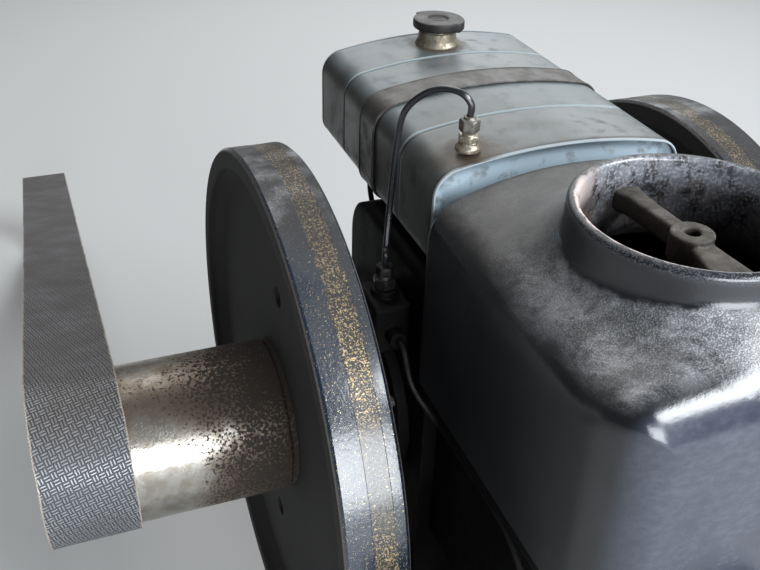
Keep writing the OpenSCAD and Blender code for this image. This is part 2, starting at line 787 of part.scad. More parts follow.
// Exhaust elbow from the head's right side up to the silencer.
module exhaust_elbow() {
    bend_r = 36;
    color("sienna") about_crank() translate([0, port_y, 0]) {
        translate([0, 0, exhaust_z]) bar_x(exhaust_d / 2 + 14, head_w / 2, head_w / 2 + 12);
        translate([0, 0, exhaust_z]) bar_x(exhaust_d / 2, head_w / 2 + 11, silencer_x - bend_r);
        translate([silencer_x - bend_r, 0, exhaust_z + bend_r]) rotate([90, 0, 0])
            rotate_extrude(angle = -90) translate([bend_r, 0]) circle(exhaust_d / 2);
        translate([silencer_x, 0, exhaust_z + bend_r])
            cylinder(d = exhaust_d, h = silencer_z - exhaust_z - bend_r);
    }
}

// Upright silencer drum with its tail pipe.
module silencer() {
    dome = 12;
    color("sienna") about_crank() translate([silencer_x, port_y, silencer_z]) difference() {
        rotate_extrude() polygon([[0, 0], [silencer_d / 2 - dome, 0], [silencer_d / 2, dome],
            [silencer_d / 2, silencer_h - dome], [silencer_d / 2 - dome, silencer_h],
            [exhaust_d / 2, silencer_h], [exhaust_d / 2, silencer_h + tail_len], [0, silencer_h + tail_len]]);
        translate([0, 0, silencer_h]) cylinder(d = exhaust_d - 6, h = tail_len + cut);
    }
}

// Intake elbow from the head's left side to the air cleaner.
module intake_elbow() {
    color("black") about_crank() translate([0, port_y, intake_z]) {
        bar_x(34, -head_w / 2 - 10, -head_w / 2);
        bar_x(22, cleaner_x + cleaner_d / 2, -head_w / 2 - 9);
    }
}

// Round air cleaner canister with its lid.
module air_cleaner() {
    low = intake_z - cleaner_h / 2;
    lid = 18;
    r = cleaner_d / 2;
    color("black") about_crank() difference() {
        translate([cleaner_x, port_y, low]) rotate_extrude()
            polygon([[0, 0], [r - 8, 0], [r - seat_gap, 8], [r - seat_gap, cleaner_h - lid],
                [r + 5, cleaner_h - lid], [r + 5, cleaner_h - 6], [r - 8, cleaner_h], [0, cleaner_h]]);
        translate([0, port_y, intake_z]) bar_x(22 + seat_gap, cleaner_x + r - 8, cleaner_x + r + cut);
    }
}

// Speed control lever on the rear cover.
module speed_lever() {
    y0 = case_rear + cover_t;
    color("dimgray") about_crank() translate([58, 0, 60]) {
        bar_y(14, y0, y0 + 12);
        bar_y(5, y0 + 11, y0 + 26);
        carried_y(y0 + 17, y0 + 22) rotate(25) round_rect([-8, -12], [8, 66], 7);
    }
}

// Oil filler spout on the rear cover.
module oil_filler() {
    y0 = case_rear + cover_t;
    spout_y = y0 + 30;
    color("black") about_crank() translate([-52, 0, -70]) {
        bar_y(15, y0, spout_y);
        translate([0, spout_y, -15]) cylinder(r = 18, h = 62);
        translate([0, spout_y, 47 - cut]) cylinder(r = 24, h = 14);
    }
}

// Drain plug low on the rear wall.
module drain_plug() {
    color("dimgray") about_crank() translate([0.4 * cover_w, case_rear, plug_z - base_h]) rotate([-90, 0, 0]) {
        cylinder(r = plug_r, h = 4);
        translate([0, 0, 4 - cut]) hex(22, 12);
    }
}

// Crankshaft with the starting pin at its right end.
module crankshaft() {
    x1 = wheel_out + shaft_tail;
    color("silver") about_crank() {
        bar_x(shaft_r, -pulley_end + 10, x1);
        translate([x1 - 14, 0, 0]) bar_y(6, -shaft_r - 14, shaft_r + 14);
    }
}

// Flywheel drawn on the right side, with two lifting holes in its web.
module flywheel() {
    bore_r = shaft_r + key_gap;
    web_in = web_out - web_t;
    rim_in = wheel_out - rim_w;
    bevel = 3;
    root = 12;
    difference() {
        turned_right([[bore_r, web_out], [rim_inner_r - root, web_out], [rim_inner_r, web_out + root],
            [rim_inner_r, wheel_out], [wheel_r - bevel, wheel_out], [wheel_r, wheel_out - bevel],
            [wheel_r, rim_in + bevel], [wheel_r - bevel, rim_in], [rim_inner_r, rim_in],
            [rim_inner_r - root / 2, web_in], [hub_d / 2 + root, web_in], [hub_d / 2, web_in - root],
            [hub_d / 2, hub_in], [bore_r, hub_in]]);
        for (turn = [0, 180]) rotate([web_hole_angle + turn, 0, 0]) translate([0, web_hole_reach, 0])
            bar_x(web_hole_d / 2, web_in - cut, web_out + cut);
    }
}
module right_flywheel() {
    color("midnightblue") about_crank() flywheel();
}
module left_flywheel() {
    color("midnightblue") about_crank() mirror([1, 0, 0]) flywheel();
}

// Hollow belt pulley on the outer face of the left flywheel's web.
module belt_pulley() {
    bore_r = shaft_r + key_gap;
    inner_r = pulley_r - pulley_wall;
    plate_x = pulley_end - pulley_dish;
    color("silver") about_crank() turned_left([[bore_r, web_out], [pulley_r, web_out], [pulley_r, pulley_end],
        [inner_r, pulley_end], [inner_r, plate_x], [shaft_r + 18, plate_x], [shaft_r + 18, plate_x + 8],
        [bore_r, plate_x + 8], [bore_r, plate_x - pulley_plate_t], [inner_r, plate_x - pulley_plate_t],
        [inner_r, web_out + pulley_plate_t], [bore_r, web_out + pulley_plate_t]]);
}

// Flat belt, one closed loop around the pulley.
module belt_outline(r) {
    rotate(-belt_slope) {
        circle(r);
        translate([belt_reach, 0]) circle(r);
        translate([0, -r]) square([belt_reach, 2 * r]);
    }
}
module drive_belt() {
    color("dimgray") about_crank() carried_x(-belt_out_x, -belt_out_x + belt_w) difference() {
        belt_outline(belt_in_r + belt_t);
        belt_outline(belt_in_r);
    }
}

foundation_block();
bearer_rails();
anchor_bolts();
crankcase();
rear_cover();
left_bearing_housing();
timing_cover();
cylinder_block();
front_foot();
cylinder_head();
rocker_cover();
water_hopper();
hopper_bridge();
hopper_drain_cock();
tank_shell();
tank_front_end();
tank_rear_end();
tank_strap();
tank_cradle();
filler_neck();
filler_cap();
return_union();
fuel_return_pipe();
injection_pump();
pump_union_nuts();
injector();
high_pressure_pipe();
fuel_filter();
fuel_feed_pipe();
exhaust_elbow();
silencer();
intake_elbow();
air_cleaner();
speed_lever();
oil_filler();
drain_plug();
crankshaft();
left_flywheel();
right_flywheel();
belt_pulley();
drive_belt();
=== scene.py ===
# %% [markdown]
# A stationary engine with two flywheels, dressed around its packed construction model.
# The construction model gives every piece its place and size. This script gives the pieces their
# finish, and models again the ones whose real surfaces are softer than a turned or milled solid.
# Everything is in metres, with the crankshaft along X and the cylinder pointing towards -Y.

# %% Load the frame
import json
import math
import random

import bpy
import bmesh
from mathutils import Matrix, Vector


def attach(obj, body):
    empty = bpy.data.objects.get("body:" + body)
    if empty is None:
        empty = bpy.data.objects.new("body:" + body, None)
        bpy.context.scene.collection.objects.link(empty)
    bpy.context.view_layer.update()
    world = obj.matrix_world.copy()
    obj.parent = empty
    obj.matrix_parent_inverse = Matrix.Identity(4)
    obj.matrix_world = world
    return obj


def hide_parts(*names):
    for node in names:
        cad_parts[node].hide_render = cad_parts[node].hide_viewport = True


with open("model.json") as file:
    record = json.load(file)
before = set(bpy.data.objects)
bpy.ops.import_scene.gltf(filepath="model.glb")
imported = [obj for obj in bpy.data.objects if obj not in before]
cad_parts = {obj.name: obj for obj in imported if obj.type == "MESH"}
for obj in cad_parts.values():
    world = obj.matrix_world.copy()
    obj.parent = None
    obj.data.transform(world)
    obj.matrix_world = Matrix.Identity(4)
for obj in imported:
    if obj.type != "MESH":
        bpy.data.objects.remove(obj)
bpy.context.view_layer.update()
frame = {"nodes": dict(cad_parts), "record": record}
nodes = frame["nodes"]

# %% [markdown]
# The camera stands where the photograph was taken: close, to the left of the engine and above it,
# looking down across the flywheel. Its place and angles were solved from the outlines of the
# flywheels, the tank and the belt. A lens given in millimetres keeps the script independent of the
# picture's size.

# %% Camera
CRANK_Z = 0.480
CRANK = Vector((0, 0, CRANK_Z))


def add_object(name, data):
    thing = bpy.data.objects.new(name, data)
    bpy.context.scene.collection.objects.link(thing)
    return thing


lens = bpy.data.cameras.new("camera")
lens.lens, lens.sensor_width, lens.clip_start = 44.508, 36, 0.01
camera = add_object("camera", lens)
camera.location = CRANK + Vector((-0.4494, -0.8002, 0.7033))
camera.rotation_euler = [math.radians(angle) for angle in (57.071, -1.595, -20.428)]
bpy.context.scene.camera = camera
bpy.context.scene.view_settings.view_transform = "Standard"
print("camera at", [round(value, 3) for value in camera.location])

# %% [markdown]
# Soft studio light comes from large area lamps, because a large lamp gives soft shadows and long
# smooth highlights on gloss paint. The world adds a dim, even fill.

# %% Lights and floor
def area_lamp(name, place, target, size, watts, colour=(1, 1, 1)):
    lamp = bpy.data.lights.new(name, "AREA")
    lamp.shape = "RECTANGLE"
    lamp.size, lamp.size_y = size
    lamp.energy, lamp.color = watts, colour
    rig = add_object(name, lamp)
    rig.location = place
    rig.rotation_euler = (Vector(target) - Vector(place)).to_track_quat("-Z", "Y").to_euler()


area_lamp("front_window", (0.05, -3.85, 1.405), (-0.25, -0.1, 0.55), (2.55, 1.95), 170, (0.90, 0.95, 1.0))
area_lamp("high_window", (2.51, -2.50, 3.39), (-0.05, -0.42, 0.80), (3.36, 1.41), 275, (0.92, 0.96, 1.0))
area_lamp("back_right", (1.8, 3.425, 2.215), (0, 0.05, 0.82), (3.3, 1.8), 50, (0.95, 0.98, 1.0))
area_lamp("back_top", (0.13, 2.92, 4.64), (0, -0.2, 0.78), (3.4, 1.95), 84)

FLOOR_HALF = 40
floor_mesh = bpy.data.meshes.new("floor")
floor_mesh.from_pydata([(x * FLOOR_HALF, y * FLOOR_HALF, 0) for x, y in ((-1, -1), (1, -1), (1, 1), (-1, 1))],
                       [], [(0, 1, 2, 3)])
add_object("floor", floor_mesh)
floor_paint = bpy.data.materials.new("floor_paint")
floor_paint.use_nodes = True
floor_shader = floor_paint.node_tree.nodes["Principled BSDF"].inputs
floor_shader["Base Color"].default_value = (0.56, 0.56, 0.555, 1)
floor_shader["Roughness"].default_value = 0.9
floor_mesh.materials.append(floor_paint)

world = bpy.data.worlds.new("world")
world.use_nodes = True
fill = world.node_tree.nodes["Background"].inputs
fill["Color"].default_value = (0.80, 0.84, 0.88, 1)
fill["Strength"].default_value = 0.16
bpy.context.scene.world = world
print("lamps:", [light.name for light in bpy.data.lights])

# %% [markdown]
# Materials here are built from nodes in code, and written out in full they would be long lists of
# links. The helpers below let a recipe read as plain sums. A Field is one output of a node, and
# plus, minus and times between fields add Math nodes to the tree.

# %% Fields and nodes
class Field:
    def __init__(self, socket):
        self.socket = socket

    def __add__(self, other):
        return maths("ADD", self, other)

    def __radd__(self, other):
        return maths("ADD", other, self)

    def __sub__(self, other):
        return maths("SUBTRACT", self, other)

    def __rsub__(self, other):
        return maths("SUBTRACT", other, self)

    def __mul__(self, other):
        return maths("MULTIPLY", self, other)

    def __rmul__(self, other):
        return maths("MULTIPLY", other, self)

    def __abs__(self):
        return maths("ABSOLUTE", self)

    def clamped(self):
        self.socket.node.use_clamp = True
        return self


def plug(value, socket):
    """Links a field into a socket, or writes a plain value there. A colour is opaque."""
    if isinstance(value, Field):
        socket.id_data.links.new(value.socket, socket)
    elif socket.type == "RGBA":
        socket.default_value = (*value, 1.0)
    else:
        socket.default_value = value


class Node:
    """A new node of the tree in hand. Its outputs are read like a dictionary's."""

    def __init__(self, kind, sockets=None, **settings):
        self.node = tree.nodes.new(kind)
        for name, value in settings.items():
            setattr(self.node, name, value)
        for key, value in (sockets or {}).items():
            plug(value, self.node.inputs[key])

    def __getitem__(self, key):
        return Field(self.node.outputs[key])


# %% [markdown]
# These are short names for the nodes that every recipe uses: sums, a soft ramp between two levels,
# mixes of colours and of values, the place and the facing of the surface, and noise.

# %% Everyday nodes
def maths(operation, *values):
    return Node("ShaderNodeMath", dict(enumerate(values)), operation=operation)[0]


def vector_maths(operation, *values):
    return Node("ShaderNodeVectorMath", dict(enumerate(values)), operation=operation)


def ramp(value, low, high, out_low=0.0, out_high=1.0):
    sockets = {"Value": value, "From Min": low, "From Max": high, "To Min": out_low, "To Max": out_high}
    return Node("ShaderNodeMapRange", sockets, interpolation_type="SMOOTHSTEP")[0]


def mix(factor, a, b):
    return Node("ShaderNodeMix", {0: factor, 6: a, 7: b}, data_type="RGBA")[2]


def mix_value(factor, a, b):
    return Node("ShaderNodeMix", {0: factor, 2: a, 3: b}, data_type="FLOAT")[0]


def position():
    return Node("ShaderNodeTexCoord")["Object"]


def normal():
    return Node("ShaderNodeNewGeometry")["Normal"]


def xyz(vector):
    split = Node("ShaderNodeSeparateXYZ", {0: vector})
    return split[0], split[1], split[2]


def noise(scale, detail, roughness=0.5, vector=None, output=0):
    return Node("ShaderNodeTexNoise", {"Vector": vector or position(), "Scale": scale, "Detail": detail,
                                       "Roughness": roughness})[output]


# %% [markdown]
# Effects that several finishes share are node groups: built once, with named inputs and outputs,
# and placed in each material with values of its own.

# %% Group helpers
def new_group(name, inputs, outputs, kind="ShaderNodeTree"):
    """Starts a node group. What follows adds to it, until the next group or finish."""
    global tree
    tree = bpy.data.node_groups.new(name, kind)
    for label, socket_type, value in inputs:
        socket = tree.interface.new_socket(name=label, in_out="INPUT", socket_type=socket_type)
        if value is not None:
            socket.default_value = value
    for label, socket_type in outputs:
        tree.interface.new_socket(name=label, in_out="OUTPUT", socket_type=socket_type)
    return tree, Node("NodeGroupInput"), tree.nodes.new("NodeGroupOutput").inputs


def group_node(group, **values):
    sockets = {key.replace("_", " "): value for key, value in values.items()}
    return Node("ShaderNodeGroup", sockets, node_tree=group)


FLOAT = "NodeSocketFloat"
VECTOR = "NodeSocketVector"

# %% [markdown]
# Patches: a cloud of noise cut between two levels. It serves for rust, stains, thin paint and
# every soft change of shade. The stretch input lets a stain run along one direction.

# %% Patches group
patches_group, given, result = new_group("patches", [
    ("Scale", FLOAT, 20.0), ("Low", FLOAT, 0.45), ("High", FLOAT, 0.6), ("Detail", FLOAT, 6.0),
    ("Stretch", VECTOR, (1.0, 1.0, 1.0))], [("Mask", FLOAT), ("Cloud", FLOAT)])
stretched = vector_maths("MULTIPLY", position(), given["Stretch"])[0]
cloud = noise(given["Scale"], given["Detail"], 0.6, stretched)
plug(ramp(cloud, given["Low"], given["High"]), result["Mask"])
plug(cloud, result["Cloud"])


def patches(scale, low, high, **more):
    return group_node(patches_group, Scale=scale, Low=low, High=high, **more)


def mask(*values, **more):
    return patches(*values, **more)["Mask"]


def cloudy(scale, detail=6.0):
    return patches(scale, 0.0, 1.0, Detail=detail)["Cloud"]


# %% [markdown]
# Speckle: small separate grains, as of rust pits, chips and dust that sparkles. Each cell of a
# Voronoi pattern is kept or dropped by its own random colour, so the grains differ in size.

# %% Speckle group
speckle_group, given, result = new_group("speckle", [
    ("Scale", FLOAT, 400.0), ("Cover", FLOAT, 0.3), ("Grain size", FLOAT, 0.5),
    ("Stretch", VECTOR, (1.0, 1.0, 1.0))], [("Mask", FLOAT), ("Tone", FLOAT)])
wobble = Node("ShaderNodeVectorMath", {0: noise(300.0, 2.0, output=1), 3: 0.0035}, operation="SCALE")[0]
shifted = vector_maths("ADD", position(), wobble)[0]
stretched = vector_maths("MULTIPLY", shifted, given["Stretch"])[0]
cells = Node("ShaderNodeTexVoronoi", {"Vector": stretched, "Scale": given["Scale"]})
chance = Node("ShaderNodeSeparateColor", {0: cells["Color"]})
kept = maths("LESS_THAN", chance[0], given["Cover"])
plug(kept * ramp(cells["Distance"], given["Grain size"], 0.2), result["Mask"])
plug(chance[1], result["Tone"])

# %% [markdown]
# Dust: it lies where a surface faces up, thins out on slopes, and is broken by where hands and
# drips have wiped it. The facing comes from the surface normal, never from the camera.

# %% Dust group
dust_group, given, result = new_group("dust", [
    ("Amount", FLOAT, 0.6), ("Flattest", FLOAT, 0.95), ("Steepest", FLOAT, 0.35),
    ("Patch scale", FLOAT, 14.0)], [("Mask", FLOAT), ("Grit", FLOAT)])
level = ramp(xyz(normal())[2], given["Steepest"], given["Flattest"])
broken = ramp(noise(given["Patch scale"], 8.0, 0.65), 0.30, 0.62, 0.35, 1.0)
plug((level * broken * given["Amount"]).clamped(), result["Mask"])
plug(noise(520.0, 3.0, 0.7), result["Grit"])


def dusting(**values):
    return group_node(dust_group, **values)["Mask"]


# %% [markdown]
# Rounded edges: the carried-over castings have sharp edges, and real ones are rounded by the sand
# mould and by wear. The Bevel node bends the normal near an edge and, compared with the true
# normal, tells where paint has rubbed through.

# %% Edge group
edge_group, given, result = new_group("rounded_edges", [
    ("Radius", FLOAT, 0.002), ("Wear", FLOAT, 0.5)], [("Mask", FLOAT), ("Normal", VECTOR)])
bevel = Node("ShaderNodeBevel", {"Radius": given["Radius"]}, samples=4)[0]
edge = ramp(vector_maths("DOT_PRODUCT", bevel, normal())[1], 0.99, 0.86)
plug(edge * ramp(noise(90.0, 5.0), 0.42, 0.62) * given["Wear"], result["Mask"])
plug(bevel, result["Normal"])
print("groups:", [group.name for group in bpy.data.node_groups])

# %% [markdown]
# A finish is a material with one Principled shader. Its colour, roughness and relief are built
# from the groups, and everything that is the same all over is set on the shader's own sockets.

# %% Material helpers
materials = {}


def new_finish(name, **fixed):
    global tree
    materials[name] = bpy.data.materials.new(name)
    materials[name].use_nodes = True
    tree = materials[name].node_tree
    shader = tree.nodes["Principled BSDF"].inputs
    for key, value in fixed.items():
        shader[key.replace("_", " ")].default_value = value
    return shader


def dress(shader, base, rough, height, metal=None, normal=None, strength=0.5, depth=0.001):
    bump = Node("ShaderNodeBump", {"Strength": strength, "Distance": depth, "Height": height})
    layers = {"Base Color": base, "Roughness": rough, "Metallic": metal, "Normal": bump[0]}
    for key, value in layers.items():
        if value:
            plug(value, shader[key])
    if normal:
        plug(normal, bump.node.inputs["Normal"])
    print("finish", list(materials)[-1] + ":", len(tree.nodes), "nodes")


# %% [markdown]
# The wheels' paint is a dark blue-black enamel brushed over sand-cast iron, so it has a hammered
# look. Round the rim runs a band where paint has worn off to brass-coloured specks. The band is
# found by the distance from the engine's middle plane, which turning the wheel doesn't change.

# %% Wheel paint
RIM_R = 0.300
BAND_INNER = 0.2255
BAND_OUTER = 0.2460
shader = new_finish("wheel_paint", Specular_IOR_Level=0.6, Coat_Roughness=0.20, Coat_IOR=1.6)

# %% [markdown]
# The band of specks has a ragged edge and a line of chips along it. On the front of the wheel, a
# little above the shaft, a stretch has been rubbed clean of specks.

# %% Wheel paint, worn band
x, y, z = xyz(position())
off_middle = abs(x)
above = z - CRANK_Z
radius = maths("SQRT", above * above + y * y)
on_rim = ramp(radius, RIM_R - 0.0032, RIM_R - 0.0012)
ragged = cloudy(110.0)
wavy = off_middle + (ragged - 0.5) * 0.007
band = ramp(wavy, BAND_INNER - 0.001, BAND_INNER + 0.001) * ramp(wavy, BAND_OUTER + 0.001, BAND_OUTER - 0.001)
band = band * on_rim
edge_line = ramp(abs(off_middle - (BAND_INNER - 0.0008)), 0.0013, 0.0003)
flecks = mask(600.0, 0.555, 0.590, Detail=2.5)
flecks_b = mask(330.0, 0.600, 0.63, Detail=3.0)
thin = mask(8.0, 0.34, 0.60)
rubbed = ramp(above, 0.060, 0.120) * ramp(above, 0.205, 0.160) * ramp(y, 0.0, -0.05)
fleck = maths("MAXIMUM", flecks, flecks_b)
fleck = (fleck * band * (thin * 0.75 + 0.25)).clamped()
fleck = fleck * (1.0 - rubbed * 0.78)
chips = group_node(speckle_group, Scale=420.0, Cover=0.42, Grain_size=0.62)["Mask"]
chip = chips * edge_line * on_rim
pin = mask(700.0, 0.66, 0.70, Detail=1.0)
pin_dot = pin * on_rim * 0.7
fleck = maths("MAXIMUM", fleck, maths("MAXIMUM", chip, pin_dot))

# %% [markdown]
# The colours are laid from the bottom up: web and rim, the bare band, dust, the bright corner, and
# the specks last, so that dust dims them.

# %% Wheel paint, colours
shade = mask(5.0, 0.3, 0.7)
rim_blue = mix(shade, (0.004, 0.009, 0.019), (0.010, 0.020, 0.038))
web_grey = mix(shade, (0.010, 0.009, 0.009), (0.017, 0.015, 0.014))
base = mix(on_rim, web_grey, rim_blue)
base = mix(band * 0.85, base, (0.013, 0.011, 0.009))
dust = dusting(Amount=1.0, Flattest=0.96, Steepest=0.62, Patch_scale=16.0)
dusty = dust * on_rim
base = mix(dusty * 0.75, base, (0.034, 0.030, 0.026))
corner = ramp(radius, RIM_R - 0.0045, RIM_R - 0.0028) * (1.0 - on_rim)
base = mix(corner * 0.8, base, (0.115, 0.105, 0.095))
tone = mask(900.0, 0.38, 0.62)
gold = mix(tone, (0.36, 0.22, 0.075), (0.90, 0.73, 0.44))
fleck = fleck * (1.0 - dusty * 0.80)
base = mix(fleck, base, gold)

# %% [markdown]
# Relief gives the hammered look. A clear coat lies on the rim only, and is gone where the band is
# worn or dust covers it.

# %% Wheel paint, relief and gloss
hammered = noise(230.0, 2.0)
fine = noise(900.0, 2.0)
relief = hammered + fine * 0.18
relief = relief + fleck * 0.18
rough = mix_value(on_rim, 0.85, 0.24)
rough = mix_value(band, rough, 0.34)
rough = mix_value(dusty, rough, 0.88)
unworn = 0.75 - band * (1.0 - rubbed) * 0.45
clear = (on_rim * unworn * (1.0 - dusty)).clamped()
plug(clear, shader["Coat Weight"])
dress(shader, base, rough, relief, metal=fleck * 0.5, strength=0.34, depth=0.0013)
print("wheel paint: band from", BAND_INNER, "to", BAND_OUTER, "m off the middle")

# %% [markdown]
# The pulley is bare steel that the belt keeps rubbing. Its middle is bright, its ends are brown,
# and dark rust pits sit all over it, longer along the way the belt runs.

# %% Worn steel
shader = new_finish("worn_steel", Specular_IOR_Level=0.5)
x = xyz(position())[0]
near_wheel = ramp(abs(x), 0.405, 0.272)
upward = ramp(xyz(normal())[2], 0.45, 0.95)
cloud = cloudy(330.0, 7.0)
broad = cloudy(16.0)
lean = (near_wheel - 0.5) * 0.26 + (broad - 0.5) * 0.35
lean = lean + upward * 0.05
rust = ramp(cloud + lean, 0.50, 0.60)
brown = ramp(broad + (near_wheel * 0.42 + upward * 0.22), 0.48, 0.86)
steel = mix(mask(60.0, 0.40, 0.62), (0.44, 0.42, 0.38), (0.34, 0.31, 0.26))
steel = mix(brown * 0.9, steel, (0.115, 0.082, 0.055))
steel = mix(rust * 0.93, steel, (0.022, 0.015, 0.011))
turning = noise(1.0, 3.0, vector=vector_maths("MULTIPLY", position(), (900.0, 12.0, 12.0))[0])
pebble = noise(260.0, 4.0)
relief = turning * 0.15 + pebble - rust * 0.5
rough = 0.22 + (brown * 0.20 + rust * 0.42)
metal = (0.95 - (brown * 0.35 + rust * 0.6)).clamped()
dress(shader, steel, rough, relief, metal=metal, strength=0.32, depth=0.0007)

# %% [markdown]
# The black finishes are gloss enamel over cast iron. Dust settles on what faces up, a greyish film
# covers the rest, and edges of the castings have rubbed through to iron.

# %% Black enamels
def black_enamel(name, tone, film, rough_low, rough_high, dust_amount, wear=0.55, grain=0.3, gloss=0.5):
    shader = new_finish(name, Specular_IOR_Level=gloss)
    cloud = mask(12.0, 0.35, 0.68)
    streak = mask(30.0, 0.42, 0.7, Stretch=(1.0, 1.0, 0.25))
    dust = group_node(dust_group, Amount=dust_amount)
    base = mix(cloud * 0.6, tone, film)
    base = mix(streak * 0.25, base, [c * 1.8 for c in film])
    base = mix(dust["Mask"], base, (0.080, 0.072, 0.062))
    rough = mix_value(cloud, rough_low, rough_high)
    rough = mix_value(dust["Mask"], rough, 0.8)
    cast = noise(160.0, 4.0, 0.6)
    worn = group_node(edge_group, Radius=0.0035, Wear=wear)
    base = mix(worn["Mask"], base, (0.10, 0.075, 0.055))
    relief = cast + dust["Grit"] * dust["Mask"] * 0.6
    dress(shader, base, rough, relief, normal=worn["Normal"], strength=grain, depth=0.0011)


black_enamel("engine_black", (0.002, 0.002, 0.0025), (0.005, 0.0046, 0.0042), 0.48, 0.70, 0.16,
             gloss=0.12, wear=0.18)
black_enamel("black_steel", (0.010, 0.011, 0.014), (0.020, 0.021, 0.026), 0.18, 0.30, 0.15,
             grain=0.08, gloss=0.8)

# %% [markdown]
# The hopper's gloss black is its own finish: the crown is grey with sparkling dust, the wall
# towards the wheel stays dark, and the inside of the ring is bare rust with ochre and pale
# limescale left by the cooling water. Distance from the mouth's axis tells outside from inside.

# %% Hopper enamel
MOUTH_Y = -0.304
RING_CREST_Z = CRANK_Z + 0.377
shader = new_finish("hopper_black", Specular_IOR_Level=0.8)
x, y, z = xyz(position())
_, face_y, face_z = xyz(normal())
along = y - MOUTH_Y
ring_reach = maths("SQRT", x * x + along * along)
ragged = cloudy(70.0)
reach = ring_reach + (ragged - 0.5) * 0.010
inner = ramp(reach, 0.0936, 0.0908)
cloud = mask(10.0, 0.35, 0.66)
wiped = mask(21.0, 0.47, 0.54, Stretch=(1.0, 0.45, 1.0))
clots = mask(62.0, 0.40, 0.56, Detail=9.0)
smears = mask(15.0, 0.52, 0.60)
strokes = mask(150.0, 0.40, 0.60, Stretch=(0.22, 1.0, 1.0))
dust = dusting(Amount=1.0, Flattest=0.86, Steepest=0.50, Patch_scale=12.0)
grain = mask(820.0, 0.50, 0.60, Detail=2.0)

# %% [markdown]
# Under the dust lies a film, nearly black on the sides. On the front wall, which faces the light,
# the film is a painted sheen instead: bluer and lighter, with fine streaks.

# %% Hopper enamel, film
film = mix(cloud, (0.005, 0.0055, 0.007), (0.013, 0.014, 0.018))
# Painted sheen: where the front wall faces -Y, its tone is made lighter and bluer.
front = ramp(face_y, -0.50, -0.84) * ramp(y, -0.404, -0.420)
sheen_cloud = mask(14.0, 0.30, 0.72, Stretch=(1.0, 1.0, 0.6))
sheen_grain = mask(210.0, 0.30, 0.74, Stretch=(0.5, 1.0, 1.0))
sheen_streaks = mix(sheen_grain, (0.030, 0.036, 0.056), (0.056, 0.064, 0.090))
film = mix(front * 0.95, film, mix(sheen_cloud, (0.018, 0.023, 0.040), sheen_streaks))

# %% [markdown]
# Dust lies on the crown and on the hollow below the ring. Fingers have swept through it, so its
# tone is broken by clots, wiped patches and a Wave texture bent into strokes.

# %% Hopper enamel, dust
on_flare = ramp(face_z, 0.28, 0.62) * ramp(ring_reach, 0.146, 0.122)
lying = maths("MAXIMUM", dust, on_flare * 0.85)
lying = lying * ramp(y, -0.438, -0.416)
lying = (lying * (1.0 - ramp(reach, 0.1010, 0.0985))).clamped()
mottle = clots * 0.42 + (wiped * 0.38 + strokes * 0.20)
mottle = mottle * (1.0 - smears * 0.7)
swept = Node("ShaderNodeTexWave", {"Vector": position(), "Scale": 34.0, "Distortion": 9.0, "Detail": 3.0,
                                   "Detail Scale": 1.2}, bands_direction="DIAGONAL")[1]
brushed = mask(17.0, 0.47, 0.56)
mottle = mottle * (1.25 - swept * brushed * 0.75)
dust_tone = mix(mottle, (0.036, 0.036, 0.037), (0.160, 0.161, 0.166))
dust_tone = mix(grain * (0.26 + mottle * 0.70), dust_tone, (0.50, 0.50, 0.52))
shoulder = ramp(x, -0.045, -0.090) * ramp(y, -0.235, -0.290)
dust_tone = mix(shoulder * (mottle * 0.5), dust_tone, (0.34, 0.34, 0.35))
on_top = ramp(face_z, 0.45, 0.75) * ramp(y, -0.400, -0.360)
olive = on_top * ramp(y, -0.300, -0.220)
film = mix(olive * (0.35 + clots * 0.4), film, (0.052, 0.047, 0.038))
lying = lying * ramp(y, -0.200, -0.300, 0.16, 1.0)
base = mix(lying, film, dust_tone)
sparkle = mask(1500.0, 0.60, 0.66, Detail=1.0)
glints = lying * sparkle
base = mix(glints, base, (0.26, 0.27, 0.28))

# %% [markdown]
# The inside of the ring is bare rust, ochre and limescale, under a painted bluish reflection with
# glints at the rear, a painted highlight on the crest and painted shade in the depth below it.

# %% Hopper enamel, inside of the ring
rust = patches(48.0, 0.44, 0.60)
ochre = mask(26.0, 0.50, 0.62)
left_side = ramp(x, -0.02, -0.075)
deep = ramp(z, RING_CREST_Z - 0.011, RING_CREST_Z - 0.032)
shallow = 1.0 - deep
bare = mix(rust["Mask"], (0.012, 0.010, 0.010), (0.052, 0.043, 0.038))
bare = mix(ochre * left_side * 0.8, bare, (0.130, 0.082, 0.038))
pink = left_side * shallow * ramp(ragged, 0.30, 0.46)
bare = mix(pink * 0.92, bare, (0.80, 0.66, 0.60))
# Painted reflection: a bluish sheen with glints on the rear of the ring's inside, fading with depth.
reflection_glints = mask(380.0, 0.50, 0.60, Detail=3.0)
veil_and_sheen = (0.80 - deep * 0.62) * (1.0 - left_side)
bare = mix(veil_and_sheen * ramp(ragged, 0.34, 0.56), bare, (0.235, 0.245, 0.275))
bare = mix(reflection_glints * veil_and_sheen * 0.7, bare, (0.44, 0.46, 0.51))
# Painted shade: the inside is darkened further below the crest.
bare = mix(ramp(z, RING_CREST_Z - 0.040, RING_CREST_Z - 0.078) * 0.92, bare, (0.007, 0.006, 0.006))
base = mix(inner, base, bare)
# Painted highlight: light blue-grey grains along the ring's crest.
crest_highlight = ramp(z, RING_CREST_Z - 0.009, RING_CREST_Z - 0.002) * 0.32
base = mix(crest_highlight * grain, base, (0.25, 0.26, 0.28))

# %% [markdown]
# The gloss changes with each layer, and the relief is sand-cast grain with coarser rust inside.

